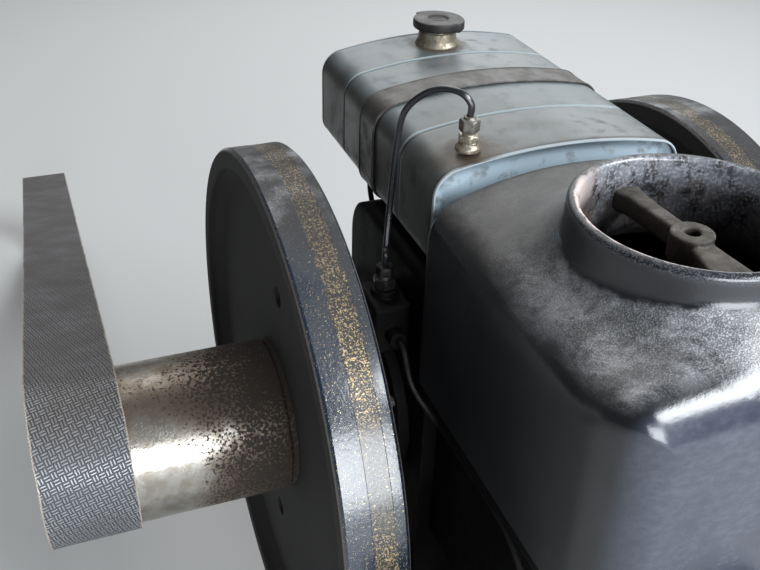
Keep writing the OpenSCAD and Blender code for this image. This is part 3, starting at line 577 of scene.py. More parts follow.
# %% Hopper enamel, gloss and relief
rough = mix_value(cloud, 0.15, 0.24)
rough = mix_value(front, rough, 0.22)
rough = mix_value(on_top, rough, 0.50)
rough = mix_value(lying, rough, 0.42)
turned_away = ramp(face_y, -0.84, -0.72) * ramp(face_z, 0.40, 0.20)
rough = mix_value(turned_away, rough, 0.42)
rough = mix_value(inner, rough, 0.28)
cast = noise(240.0, 4.0, 0.6)
sand = noise(760.0, 2.0, 0.6)
relief = cast * 0.40 + sand * lying * 0.95
relief = relief + rust["Cloud"] * inner * 1.6
dress(shader, base, rough, relief, strength=0.36, depth=0.0010)

# %% [markdown]
# The tank is thin sheet in a blue-grey paint that has gone chalky. Grease has run into the pressed
# grooves, and fuel spilt at the filler and the union has dried to brown rings. Painted shade darkens
# the steep sides, and painted highlights and a painted sheen lie on the grooves, rims and front plate.

# %% Tank paint
STRAP_Y = 0.0595
GROOVE_SPOTS = (STRAP_Y - 0.089, STRAP_Y + 0.0785)
UNION_SPOT = (-0.089, -0.091)
FILLER_SPOT = (-0.003, 0.180)


def ring_stain(middle, near, far):
    dx, dy = x - middle[0], y - middle[1]
    away = maths("SQRT", dx * dx + dy * dy)
    return ramp(away + (cloudy(60.0) - 0.5) * 0.03, far, near)


shader = new_finish("tank_blue", Specular_IOR_Level=0.6)
x, y, z = xyz(position())
_, face_y, face_z = xyz(normal())
cloud = patches(13.0, 0.34, 0.66)
runs = mask(34.0, 0.44, 0.66, Stretch=(1.0, 1.0, 0.22))
grime = mask(52.0, 0.52, 0.70)
smudge = mask(7.0, 0.44, 0.64)
base = mix(cloud["Mask"], (0.098, 0.120, 0.126), (0.158, 0.184, 0.190))
film = ramp(y, 0.03, -0.07) * ramp(x, 0.110, -0.040)
veil_and_sheen = mask(24.0, 0.26, 0.60)
base = mix(film * veil_and_sheen * 0.85, base, (0.092, 0.091, 0.082))
base = mix(smudge * 0.55, base, (0.082, 0.084, 0.078))
steep = ramp(face_z, 0.86, 0.45)
# Painted shade: the steep sides are darker and browner, most towards the rear.
base = mix(steep * ramp(y, -0.02, -0.09, 0.92, 0.45), base, (0.033, 0.030, 0.026))
base = mix(runs * (steep * 0.5), base, (0.095, 0.098, 0.092))
base = mix(grime * (0.16 + steep * 0.25), base, (0.046, 0.042, 0.036))

# %% [markdown]
# Each groove has a dark line on its near side, of grease and painted shade, and a painted highlight
# on its far side. The rolled rims carry a painted highlight, the front plate a painted bluish sheen,
# and the two stains lie round the union and the filler.

# %% Tank paint, grooves, rims and stains
for middle in GROOVE_SPOTS:
    # Near side: a dark line of grease and painted shade. Far side: a painted highlight.
    away = abs(y - (middle - 0.0014))
    base = mix(ramp(away, 0.0028, 0.0008) * 0.30, base, (0.040, 0.038, 0.034))
    beyond = abs(y - (middle + 0.0026))
    groove_highlight = ramp(beyond, 0.0022, 0.0006) * (0.8 - steep * 0.55)
    base = mix(groove_highlight, base, (0.30, 0.36, 0.38))
# Painted sheen: faces turned to -Y, the front plate, get a bright bluish tone, broken by grime.
front_plate_sheen = ramp(face_y, -0.80, -0.96)
sheen_blue = mix(grime, (0.36, 0.46, 0.53), (0.16, 0.19, 0.20))
base = mix(front_plate_sheen * 0.9, base, sheen_blue)
# Painted highlight: pale lines along both rolled rims.
rim_highlights = maths("MAXIMUM", ramp(y, -0.1118, -0.1132), ramp(y, 0.2178, 0.2192))
base = mix(rim_highlights * 0.85, base, (0.42, 0.47, 0.50))
stain = maths("MAXIMUM", ring_stain(UNION_SPOT, 0.017, 0.040), ring_stain(FILLER_SPOT, 0.026, 0.040))
stain = stain * ramp(face_z, 0.40, 0.70)
base = mix(stain * 0.92, base, (0.062, 0.044, 0.028))
rough = mix_value(cloud["Mask"], 0.32, 0.46)
rough = mix_value(maths("MAXIMUM", grime, stain), rough, 0.55)
dents = noise(16.0, 2.0)
peel = noise(420.0, 3.0)
dress(shader, base, rough, dents + peel * 0.05, strength=0.30, depth=0.004)

# %% [markdown]
# The remaining metals share one recipe: a clean tone, a stained tone, dark grime in patches, fine
# grain, and brightened edges. Only the numbers differ.

# %% Metal recipe
def metal_finish(name, clean_tone, stained, grime, metallic, rough_low, rough_high, scale=40.0, edges=0.0025,
                 edge_tone=(0.45, 0.42, 0.37), wear=0.6, dust_amount=0.3, strength=0.25, depth=0.0006,
                 sides=None):
    shader = new_finish(name, Specular_IOR_Level=0.5)
    stain = patches(scale, 0.38, 0.64)
    dirt = mask(scale * 2.3, 0.5, 0.68)
    pits = group_node(speckle_group, Scale=520.0, Cover=0.22, Grain_size=0.6)["Mask"]
    dust = dusting(Amount=dust_amount)
    base = mix(stain["Mask"], clean_tone, stained)
    base = mix(dirt * 0.7, base, grime)
    base = mix(pits * 0.4, base, grime)
    base = mix(dust, base, (0.20, 0.185, 0.16))
    if sides:
        base = mix(ramp(xyz(normal())[2], 0.60, 0.15, 0.0, 0.85), base, sides)
    worn = group_node(edge_group, Radius=edges, Wear=wear)
    base = mix(worn["Mask"], base, edge_tone)
    rough = mix_value(stain["Mask"], rough_low, rough_high)
    rough = mix_value(dust, rough, 0.8)
    covered = maths("MAXIMUM", dirt * 0.7, dust)
    metal = metallic * (1.0 - covered * 0.7)
    fine = noise(330.0, 4.0, 0.65)
    relief = fine + stain["Cloud"] * 0.8
    dress(shader, base, rough, relief, metal, worn["Normal"], strength, depth)


# %% [markdown]
# Each line is one metal: its clean, stained and grimy tones, how metallic it is, the roughness of
# its clean and its stained parts, and whatever differs from the recipe's own values.

# %% Plain metals
metal_finish("dull_steel", (0.30, 0.29, 0.27), (0.18, 0.15, 0.12), (0.045, 0.036, 0.028), 0.85, 0.32, 0.55)
metal_finish("oily_steel", (0.030, 0.028, 0.027), (0.016, 0.014, 0.012), (0.008, 0.007, 0.006), 0.5, 0.34, 0.55,
             edge_tone=(0.13, 0.12, 0.11), dust_amount=0.05)
metal_finish("sooty_steel", (0.012, 0.011, 0.011), (0.008, 0.007, 0.007), (0.005, 0.004, 0.004),
             0.2, 0.50, 0.70, edge_tone=(0.03, 0.03, 0.03), dust_amount=0.0)
metal_finish("rusty_iron", (0.120, 0.106, 0.094), (0.024, 0.017, 0.013), (0.016, 0.011, 0.009),
             0.25, 0.42, 0.66, 44.0, 0.0035, (0.36, 0.31, 0.27), wear=0.9, strength=0.6, depth=0.0012,
             sides=(0.015, 0.011, 0.009))
metal_finish("brass", (0.46, 0.42, 0.33), (0.24, 0.20, 0.145), (0.050, 0.038, 0.026), 0.75, 0.30, 0.50,
             70.0, 0.0012, (0.72, 0.64, 0.47), dust_amount=0.15)
metal_finish("aluminium", (0.46, 0.46, 0.45), (0.31, 0.30, 0.28), (0.085, 0.075, 0.060), 0.8, 0.36, 0.55)
metal_finish("strap_steel", (0.060, 0.056, 0.054), (0.040, 0.035, 0.031), (0.022, 0.018, 0.015),
             0.2, 0.34, 0.52, 55.0, 0.0014, (0.40, 0.43, 0.45), wear=1.0, dust_amount=0.25)

# %% [markdown]
# The cap is moulded plastic, slightly rough and dusty on top.

# %% Cap plastic
shader = new_finish("cap_plastic", Specular_IOR_Level=0.35)
dust = dusting(Amount=0.55, Patch_scale=40.0)
cloud = patches(60.0, 0.35, 0.65)
base = mix(cloud["Mask"], (0.011, 0.010, 0.010), (0.022, 0.020, 0.019))
base = mix(dust * 0.8, base, (0.105, 0.096, 0.088))
grain = noise(700.0, 3.0)
dress(shader, base, ramp(cloud["Cloud"], 0.3, 0.7, 0.42, 0.62), grain, strength=0.25, depth=0.0004)

# %% [markdown]
# The belt is woven canvas with a rubber face. Its UV map runs in metres along and across the belt,
# so the weave keeps its size and follows the bends. Square cells hold two strands each, laid across
# and along the belt in turn, which gives the basket weave.

# %% Belt weave
WEAVE_CELL = 0.0071
BELT_W = 0.093
shader = new_finish("belt_rubber", Specular_IOR_Level=0.9)
uv = Node("ShaderNodeUVMap", uv_map="belt_metres")[0]
cell = xyz(Node("ShaderNodeVectorMath", {0: uv, 3: 1.0 / WEAVE_CELL}, operation="SCALE")[0])
column = cell[1] + cell[0] * 0.25
row = cell[0] - cell[1] * 0.25
turn = maths("MODULO", maths("FLOOR", column) + maths("FLOOR", row) + 4000.0, 2.0)
in_x = maths("FRACT", column) - 0.5
in_y = maths("FRACT", row) - 0.5
across = mix_value(turn, in_x, in_y)
lengthwise = abs(mix_value(turn, in_y, in_x))
strand = abs(abs(across) - 0.23)
bars = ramp(strand, 0.19, 0.07) * ramp(lengthwise, 0.52, 0.40)
width = xyz(uv)[1]
to_edge = BELT_W / 2 - abs(width - BELT_W / 2)
ragged = cloudy(180.0)
fringe = ramp(to_edge + (ragged - 0.5) * 0.003, 0.0022, 0.0006)
soot = mask(9.0, 0.35, 0.66)
dust = dusting(Amount=0.8, Flattest=1.0, Steepest=0.45, Patch_scale=20.0)
base = mix(bars, (0.007, 0.007, 0.009), (0.235, 0.245, 0.270))
base = mix(soot * 0.5, base, (0.044, 0.040, 0.037))
base = mix(dust * 0.85, base, mix(bars, (0.030, 0.022, 0.016), (0.072, 0.054, 0.040)))
base = mix(fringe, base, (0.34, 0.29, 0.23))
rough = mix_value(dust, ramp(bars, 0.0, 1.0, 0.62, 0.26), 0.72)
dress(shader, base, rough, bars, strength=0.6, depth=0.0009)

# %% [markdown]
# Concrete is sandy, pale and pocked, with oil soaked in where it runs down from the sump.

# %% Concrete
shader = new_finish("concrete", Specular_IOR_Level=0.3)
cloud = mask(6.0, 0.3, 0.7)
sand = patches(240.0, 0.35, 0.65)
holes = group_node(speckle_group, Scale=85.0, Cover=0.10, Grain_size=0.35)["Mask"]
oil = mask(4.0, 0.52, 0.66, Stretch=(1.0, 1.0, 0.4))
base = mix(cloud, (0.44, 0.42, 0.385), (0.56, 0.54, 0.50))
base = mix(sand["Mask"] * 0.35, base, (0.33, 0.31, 0.28))
base = mix(holes, base, (0.19, 0.175, 0.155))
base = mix(oil * 0.65, base, (0.105, 0.088, 0.070))
soft = group_node(edge_group, Radius=0.006, Wear=0.0)
relief = sand["Cloud"] - holes * 0.9
dress(shader, base, ramp(oil, 0.0, 1.0, 0.9, 0.5), relief, normal=soft["Normal"], strength=0.5, depth=0.0022)
print("finishes:", sorted(materials))

# %% [markdown]
# Every construction node first gets the finish of its slot. The ones that are modelled again
# further down are hidden by their replacement, so nothing is ever left plain.

# %% Finish the construction nodes
for part in frame["record"]["subparts"]:
    mesh = nodes[part["node"]].data
    mesh.materials.clear()
    mesh.materials.append(materials[part["material_slot"]])

# %% [markdown]
# Shapes are made from rows of points joined into a skin. A turned part is a row of points swung
# round an axis; a pressed or cast part is a row of outlines along its length. A closed skin has no
# open edge anywhere, which the mesh files of the finished part need.

# %% Skin helpers
def grid_faces(rows, count, wrap_rows=False):
    faces = []
    for i in range(rows if wrap_rows else rows - 1):
        below = (i + 1) % rows
        for k in range(count):
            right = (k + 1) % count
            faces.append((i * count + k, i * count + right, below * count + right, below * count + k))
    return faces


def skin(name, rings, wrap=False, start_middle=None, end_middle=None):
    count = len(rings[0])
    points = [point for ring in rings for point in ring]
    faces = grid_faces(len(rings), count, wrap)
    for middle, row in ((start_middle, 0), (end_middle, len(rings) - 1)):
        if middle is not None:
            hub = len(points)
            points.append(middle)
            faces += [(row * count + (k + 1) % count, row * count + k, hub) for k in range(count)]
    mesh = bpy.data.meshes.new(name)
    mesh.from_pydata([tuple(point) for point in points], [], faces)
    return add_object(name, mesh)


# %% [markdown]
# Every piece goes through the same last steps: doubled points are merged, the faces are turned
# outwards, flat and round parts are told apart by the angle between faces, and the piece gets its
# finish, its body and the nodes that it stands in for.

# %% Joining and finishing
def join(name, *parts):
    """Joins closed solids into one piece. They may overlap."""
    mesh = bmesh.new()
    for part in parts:
        clean(part)
        mesh.from_mesh(part.data)
        bpy.data.objects.remove(part)
    joined = bpy.data.meshes.new(name)
    mesh.to_mesh(joined)
    mesh.free()
    return add_object(name, joined)


def apply_modifiers(piece):
    solid = bpy.data.meshes.new_from_object(piece.evaluated_get(bpy.context.evaluated_depsgraph_get()))
    piece.modifiers.clear()
    piece.data = solid
    solid.name = piece.name


def clean(piece):
    mesh = bmesh.new()
    mesh.from_mesh(piece.data)
    bmesh.ops.remove_doubles(mesh, verts=mesh.verts, dist=1e-6)
    bmesh.ops.recalc_face_normals(mesh, faces=mesh.faces)
    open_edges = sum(1 for edge in mesh.edges if len(edge.link_faces) != 2)
    mesh.to_mesh(piece.data)
    mesh.free()
    return open_edges


def finish_piece(piece, body, slot, replaced=(), sharp=32, finish=None):
    open_edges = clean(piece)
    piece.data.shade_smooth()
    piece.data.set_sharp_from_angle(angle=math.radians(sharp))
    piece.data.materials.clear()
    piece.data.materials.append(materials[finish or slot])
    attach(piece, body)
    if replaced:
        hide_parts(*replaced)
    print(f"{piece.name}: {len(piece.data.polygons)} faces, {open_edges} open edges")


# %% [markdown]
# Real edges are never sharp. Outlines are listed by their corners with a radius for each, and
# the corners are rounded before the outline is turned or swept.

# %% Rounded outlines and turned parts
def soften(corners, steps=5):
    """Rounds the corners of an outline. Each corner is (u, v, radius)."""
    out = []
    count = len(corners)
    for i, (u, v, radius) in enumerate(corners):
        here = Vector((u, v))
        if radius == 0:
            out.append((u, v))
            continue
        before = Vector(corners[i - 1][:2]) - here
        after = Vector(corners[(i + 1) % count][:2]) - here
        opening = before.angle(after)
        cut = min(radius / math.tan(opening / 2), before.length * 0.48, after.length * 0.48)
        start, end = here + before.normalized() * cut, here + after.normalized() * cut
        for s in range(steps + 1):
            t = s / steps
            point = start * (1 - t) ** 2 + here * 2 * t * (1 - t) + end * t * t
            out.append((point.x, point.y))
    return out


def turns(count):
    return [2 * math.pi * k / count for k in range(count)]


def turned(name, outline, steps, axis, middle, closed=True):
    """Swings an outline of (radius, distance along the axis) round an axis through middle."""
    rings = []
    for radius, distance in outline:
        ring = [(radius * math.cos(a), radius * math.sin(a)) for a in turns(steps)]
        rings.append([Vector((u, v, distance) if axis == "Z" else (distance, u, v)) + Vector(middle)
                      for u, v in ring])
    return skin(name, rings, wrap=closed)


# %% [markdown]
# A flywheel is one iron casting, turned on the rim and the hub. Its section is drawn once, with
# every inside corner filleted as a foundry does, and swung round the crankshaft.

# %% Flywheels
WHEEL_OUT = 0.27275
WHEEL_RIM_IN = 0.21175
WEB_OUT = 0.25275
WEB_IN = 0.22875
HUB_R = 0.060
HUB_IN = 0.174
BORE_R = 0.0301
HOLE_REACH = 0.163
HOLE_R = 0.012
wheel_section = soften([
    (BORE_R, WEB_OUT, 0.0015), (0.266, WEB_OUT, 0.006), (0.278, WEB_OUT + 0.012, 0.006),
    (0.278, WHEEL_OUT, 0.003), (0.2965, WHEEL_OUT, 0.0022), (RIM_R, WHEEL_OUT - 0.0035, 0.002),
    (RIM_R, BAND_OUTER + 0.0005, 0), (RIM_R - 0.0003, BAND_OUTER, 0), (RIM_R - 0.0003, BAND_INNER, 0),
    (RIM_R, BAND_INNER - 0.0005, 0), (RIM_R, WHEEL_RIM_IN + 0.0035, 0.002), (0.2965, WHEEL_RIM_IN, 0.0022),
    (0.278, WHEEL_RIM_IN, 0.003), (0.272, WEB_IN, 0.010), (HUB_R + 0.012, WEB_IN, 0.012),
    (HUB_R, WEB_IN - 0.012, 0.012), (HUB_R, HUB_IN, 0.003), (BORE_R, HUB_IN, 0.0015)])

# %% [markdown]
# Two lifting holes are bored through the web after turning, as in a workshop. A Boolean modifier
# takes a cutter of two rods away from the wheel, and its exact solver keeps the edges clean.

# %% Lifting holes
def bore_holes(piece, low, high):
    cutters = []
    for angle in (math.radians(94), math.radians(274)):
        middle = (0, HOLE_REACH * math.cos(angle), CRANK_Z + HOLE_REACH * math.sin(angle))
        outline = [(0, low), (HOLE_R, low), (HOLE_R, high), (0, high)]
        cutters.append(turned("cutter", outline, 40, "X", middle, closed=False))
    cutter = join("hole_cutter", *cutters)
    bore = piece.modifiers.new("holes", "BOOLEAN")
    bore.operation, bore.solver, bore.object = "DIFFERENCE", "EXACT", cutter
    apply_modifiers(piece)
    bpy.data.objects.remove(cutter)


for name, side in (("left_flywheel", -1), ("right_flywheel", 1)):
    wheel = turned(name + "_casting", [(r, x * side) for r, x in wheel_section], 288, "X", CRANK)
    clean(wheel)
    bore_holes(wheel, *sorted((side * (WEB_IN - 0.02), side * (WEB_OUT + 0.02))))
    finish_piece(wheel, "crank_assembly", "wheel_paint", [name], sharp=28)

# %% [markdown]
# The belt pulley is a hollow drum with its end plate set back inside. A step next to the flywheel
# and a rounded outer edge frame the flat face that the belt runs on.

# %% Belt pulley
PULLEY_R = 0.0853
PULLEY_END = WEB_OUT + 0.257
PLATE_X = PULLEY_END - 0.022
drum = soften([
    (BORE_R, WEB_OUT + 0.0003, 0), (PULLEY_R - 0.0025, WEB_OUT + 0.0003, 0),
    (PULLEY_R - 0.0025, WEB_OUT + 0.006, 0.001), (PULLEY_R, WEB_OUT + 0.009, 0.002),
    (PULLEY_R, PULLEY_END - 0.0022, 0.0012), (PULLEY_R - 0.0022, PULLEY_END, 0.0012),
    (PULLEY_R - 0.010, PULLEY_END, 0.002), (PULLEY_R - 0.010, PLATE_X, 0.005), (0.048, PLATE_X, 0.004),
    (0.048, PLATE_X + 0.008, 0.002), (BORE_R, PLATE_X + 0.008, 0.001)])
pulley = turned("belt_pulley_drum", [(r, -x) for r, x in drum], 192, "X", CRANK)
finish_piece(pulley, "crank_assembly", "worn_steel", ["belt_pulley"])

# %% [markdown]
# The belt is a closed loop with a rectangular section. Its upper run hangs a few millimetres, and
# its edges wander slightly, as canvas cut from a wide sheet does. First comes the path of its
# middle, seen from the side.

# %% Drive belt
BELT_T = 0.0055
BELT_SLOPE = math.radians(16.2)
BELT_REACH = 1.2998
BELT_LOOP_R = PULLEY_R + 0.0003 + BELT_T / 2
BELT_SAG = 0.006
belt_outer_x = -(PULLEY_END + 0.005)


def belt_path(run_steps=150, bend_steps=40):
    """Out along the sagging upper run, round the far bend, back along the lower run and round the pulley."""
    path = []
    for k in range(run_steps):
        t = k / run_steps
        path.append((t * BELT_REACH, BELT_LOOP_R - BELT_SAG * math.sin(math.pi * t) ** 2))
    bend = [math.pi / 2 - math.pi * k / bend_steps for k in range(bend_steps)]
    path += [(BELT_REACH + BELT_LOOP_R * math.cos(a), BELT_LOOP_R * math.sin(a)) for a in bend]
    path += [((1 - k / run_steps) * BELT_REACH, -BELT_LOOP_R) for k in range(run_steps)]
    path += [(BELT_LOOP_R * math.cos(a - math.pi), BELT_LOOP_R * math.sin(a - math.pi)) for a in bend]
    c, s = math.cos(BELT_SLOPE), math.sin(BELT_SLOPE)
    return [Vector((along * c + up * s, up * c - along * s)) for along, up in path]


# %% [markdown]
# The section is carried along the path. It has extra points near its corners, which keep the edges
# crisp, and a small random shift of both edges.

# %% Belt skin
path = belt_path()
rows = len(path)
across = [k / 14 for k in range(1, 14)]
section = [(0.0, 0.5), (0.0, 0.2), (0.0, -0.2), (0.0, -0.5), (0.02, -0.5)] + [(u, -0.5) for u in across]
section += [(0.98, -0.5), (1.0, -0.5), (1.0, -0.2), (1.0, 0.2), (1.0, 0.5)] + [(u, 0.5) for u in across[::-1]]
random.seed(41)
wander = [random.uniform(-1, 1) for _ in range(rows)]
belt_rings, lengths, travelled = [], [], 0.0
for i, point in enumerate(path):
    ahead, behind = path[(i + 1) % rows], path[i - 1]
    forward = (ahead - behind).normalized()
    outward = Vector((-forward.y, forward.x))
    lengths.append(travelled)
    travelled += (ahead - point).length
    edge_shift = 0.00045 * (wander[i] + wander[i - 1]) / 2
    ring = []
    for u, v in section:
        x = belt_outer_x + 0.0007 + u * (BELT_W - 0.0014) + (edge_shift if u < 0.5 else -edge_shift)
        spot = point + outward * (v * BELT_T)
        ring.append(Vector((x, spot.x, CRANK_Z + spot.y)))
    belt_rings.append(ring)
belt = skin("woven_belt", belt_rings, wrap=True)
count = len(section)

# %% [markdown]
# The UV map tells the weave, in metres, how far along and across the belt each point lies. The last
# row of faces closes the loop, so its far side takes the whole length and not zero.

# %% Belt weave coordinates
uv_layer = belt.data.uv_layers.new(name="belt_metres")
for face in belt.data.polygons:
    row = face.vertices[0] // count
    for corner, vertex in zip(face.loop_indices, face.vertices):
        own_row, own_place = divmod(vertex, count)
        along = lengths[own_row] if own_row >= row else travelled
        uv_layer.data[corner].uv = (along, section[own_place][0] * BELT_W)
finish_piece(belt, "engine", "belt_rubber", ["drive_belt"], sharp=50)
print("belt length in metres:", round(travelled, 3))

# %% [markdown]
# The hopper is a cast box with a crowned top, and its mouth ring grows out of the crown in a wide
# hollow curve. All of that is one skin in polar rows about the mouth's axis: from the ring's lip
# out over the crown, over the rounded edges and down the walls. Rows stay dense where the surface
# bends fast. The inside is a second set of rows that ends in the basin's floor.

# %% Hopper outline
HOPPER_W = 0.143
HOPPER_FRONT = -0.454
HOPPER_REAR = -0.125
HOPPER_TOP = 0.336
HOPPER_BASE = 0.117
HOPPER_EDGE_R = 0.042
HOPPER_CROWN_R = 0.350
FRONT_CROWN_R = 1.600
FRONT_DROP = 0.004
FRONT_EDGE_R = 0.028
FRONT_R = 0.044
REAR_R = 0.012
HOPPER_WALL = 0.008
RING_OUT = 0.0980
RING_IN = 0.0885
RING_TOP = 0.377
FLARE = 0.026
FLARE_SHARE = 0.86
FLARE_MOST = 0.050


def crown_height(x, half_width, top, corner_r, crown_r):
    """Height of a crowned section at x: an arc across the top that runs into round corners."""
    x = min(abs(x), half_width)
    corner_x = half_width - corner_r
    reach = crown_r - corner_r
    corner_z = top - crown_r + math.sqrt(reach ** 2 - corner_x ** 2)
    if x < corner_x * crown_r / reach:
        return top - crown_r + math.sqrt(crown_r ** 2 - x ** 2)
    return corner_z + math.sqrt(max(corner_r ** 2 - (x - corner_x) ** 2, 0))


# %% [markdown]
# The height of the hopper at any spot seen from above comes from one function. It blends the round
# crown into the flat front, and draws the section in towards the front and rear edges.

# %% Hopper height
def smooth(value, low, high):
    t = min(max((value - low) / (high - low), 0), 1)
    return t * t * (3 - 2 * t)


def hopper_height(x, y, inset=0.0):
    """The crown is round at the tank's end and runs out nearly flat at the front."""
    draw_in = 0.0
    for edge, radius in ((HOPPER_FRONT, FRONT_R), (HOPPER_REAR, REAR_R)):
        depth = abs(y - edge) - inset
        own = radius - inset
        if depth < own:
            draw_in = own - math.sqrt(max(own ** 2 - (own - max(depth, 0)) ** 2, 0))
    inset += draw_in
    flat = smooth(-y, 0.385, 0.440)
    crown_r = 1 / ((1 - flat) / HOPPER_CROWN_R + flat / FRONT_CROWN_R)
    top = HOPPER_TOP - FRONT_DROP * flat
    edge_r = HOPPER_EDGE_R + (FRONT_EDGE_R - HOPPER_EDGE_R) * flat
    return crown_height(x, HOPPER_W - inset, top - inset, max(edge_r - inset, 0.002), crown_r - inset)


# %% [markdown]
# The plan is the outline of the walls seen from above, filled with points a few millimetres apart.

# %% Hopper plan
def hopper_plan(inset):
    """Outline of the walls seen from above, as points about the mouth's axis."""
    front, rear, w = HOPPER_FRONT + inset, HOPPER_REAR - inset, HOPPER_W - inset
    points = []
    for cx, cy, r, start in ((w, rear, REAR_R - inset, 0), (-w, rear, REAR_R - inset, 90),
                             (-w, front, FRONT_R - inset, 180), (w, front, FRONT_R - inset, 270)):
        mx, my = cx - math.copysign(r, cx), cy + (r if cy == front else -r)
        steps = 14 if cy == front else 9
        for s in range(steps + 1):
            a = math.radians(start + 90 * s / steps)
            points.append(Vector((mx + r * math.cos(a), my + r * math.sin(a) - MOUTH_Y)))
    filled = []
    for i, point in enumerate(points):
        after = points[(i + 1) % len(points)]
        pieces = max(1, round((after - point).length / 0.0075))
        filled += [point + (after - point) * (k / pieces) for k in range(pieces)]
    return filled


# %% [markdown]
# The rows run from the middle of the basin's floor up the inside, through the ring, and back down
# the outside to the flange. Every row has one point on each ray of the plan.

# %% Hopper inside
outer_plan = hopper_plan(0.0)
inner_plan = [p * ((p.length - HOPPER_WALL * 1.15) / p.length) for p in outer_plan]
hopper_rows = []


def add_row(plan, reaches, height):
    """Points out along the plan's rays. The height follows from x, y and the ray's number."""
    row = []
    for k, (ray, reach) in enumerate(zip(plan, reaches)):
        n = ray.normalized()
        x, y = n.x * reach, MOUTH_Y + n.y * reach
        row.append(Vector((x, y, CRANK_Z + height(x, y, k))))
    hopper_rows.append(row)


floor_z = HOPPER_BASE + HOPPER_WALL
for share in (0.35, 0.7, 1.0):
    hopper_rows.append([Vector((q.x * share, MOUTH_Y + q.y * share, CRANK_Z + floor_z)) for q in inner_plan])
foot = hopper_rows[-1]
for k in range(1, 9):
    hopper_rows.append([Vector((p.x, p.y, p.z + (CRANK_Z + hopper_height(p.x, p.y, HOPPER_WALL) - p.z) * k / 8))
                        for p in foot])
start = RING_OUT + 0.001
for k in range(9, -1, -1):
    t = 1 - (1 - k / 10) ** 2
    add_row(inner_plan, [start + (q.length - start) * t for q in inner_plan],
            lambda x, y, k: hopper_height(x, y, HOPPER_WALL))
print("rows inside the hopper:", len(hopper_rows))

# %% [markdown]
# The ring's bore bulges by half a millimetre, as castings do, and its lip is a half round.

# %% Mouth ring
def ring_row(radius, level):
    add_row(outer_plan, [radius] * len(outer_plan), lambda x, y, k: level)


lip_r = (RING_OUT - RING_IN) / 2
lip_z = RING_TOP - lip_r
collar = HOPPER_TOP - 0.034
ring_row(RING_OUT - 0.0005, collar + 0.003)
ring_row(RING_OUT - 0.003, collar)
ring_row(RING_IN + 0.003, collar)
ring_row(RING_IN, collar + 0.003)
for k in range(1, 7):
    ring_row(RING_IN + 0.0006 * math.sin(k * 0.5), collar + 0.003 + (lip_z - collar - 0.003) * k / 6)
for k in range(1, 8):
    a = math.pi * k / 8
    ring_row(RING_IN + lip_r - lip_r * math.cos(a), lip_z + lip_r * math.sin(a))

# %% [markdown]
# Outside, the ring runs down into the hollow flare, the flare into the crown, and the crown over
# the rounded edges into the walls. Where the walls come close to the ring, the flare is narrower.

# %% Hopper outside
starts = [p.normalized() * RING_OUT for p in outer_plan]
flare_tops = [hopper_height(p.x, MOUTH_Y + p.y) + FLARE for p in starts]
for step in range(4):
    add_row(outer_plan, [RING_OUT] * len(outer_plan),
            lambda x, y, k: lip_z + (flare_tops[k] - lip_z) * step / 3)
spread = [min(FLARE_MOST, max(p.length - RING_OUT, 0.022) * FLARE_SHARE) for p in outer_plan]
for step in range(1, 15):
    a = math.pi / 2 * (1 - step / 14)
    add_row(outer_plan, [RING_OUT + wide * (1 - math.sin(a)) for wide in spread],
            lambda x, y, k: hopper_height(x, y) + FLARE * (1 - math.cos(a)))
begins = [RING_OUT + wide for wide in spread]
for step in range(1, 23):
    t = 1 - (1 - step / 22) ** 2
    add_row(outer_plan, [begin + (p.length - begin) * t for p, begin in zip(outer_plan, begins)],
            lambda x, y, k: hopper_height(x, y))
rim, base_z = hopper_rows[-1], CRANK_Z + HOPPER_BASE
for k in range(1, 11):
    hopper_rows.append([Vector((p.x, p.y, p.z + (base_z - p.z) * k / 10)) for p in rim])
for share in (0.7, 0.35):
    hopper_rows.append([Vector((p.x * share, MOUTH_Y + (p.y - MOUTH_Y) * share, base_z)) for p in rim])
hopper = skin("water_hopper_casting", hopper_rows, start_middle=Vector((0, MOUTH_Y, CRANK_Z + floor_z)),
              end_middle=Vector((0, MOUTH_Y, CRANK_Z + HOPPER_BASE)))
finish_piece(hopper, "engine", "hopper_black", ["water_hopper"], sharp=50)

# %% [markdown]
# The bar across the mouth is a rough casting: a slim arm to the rear, an arm that spreads into a
# saddle at the front, and a tapped boss between. The three are drawn as overlapping solids and
# fused with a voxel Remesh, which fillets the joints the way a foundry pattern does.

# %% Hopper bridge
BRIDGE_TOP = RING_TOP - 0.021


def rounded_bar_ring(y, half_width, top, bottom, corner=0.35):
    ring = []
    for a in turns(20):
        c, s = math.cos(a), math.sin(a)
        x = math.copysign(abs(c) ** corner, c) * half_width
        z = (top + bottom) / 2 + math.copysign(abs(s) ** corner, s) * (top - bottom) / 2
        ring.append(Vector((x, MOUTH_Y + y, CRANK_Z + z)))
    return ring


def bar(name, stations):
    rings = [rounded_bar_ring(*station) for station in stations]
    ends = [sum(ring, Vector()) / len(ring) for ring in (rings[0], rings[-1])]
    return skin(name, rings, start_middle=ends[0], end_middle=ends[1])


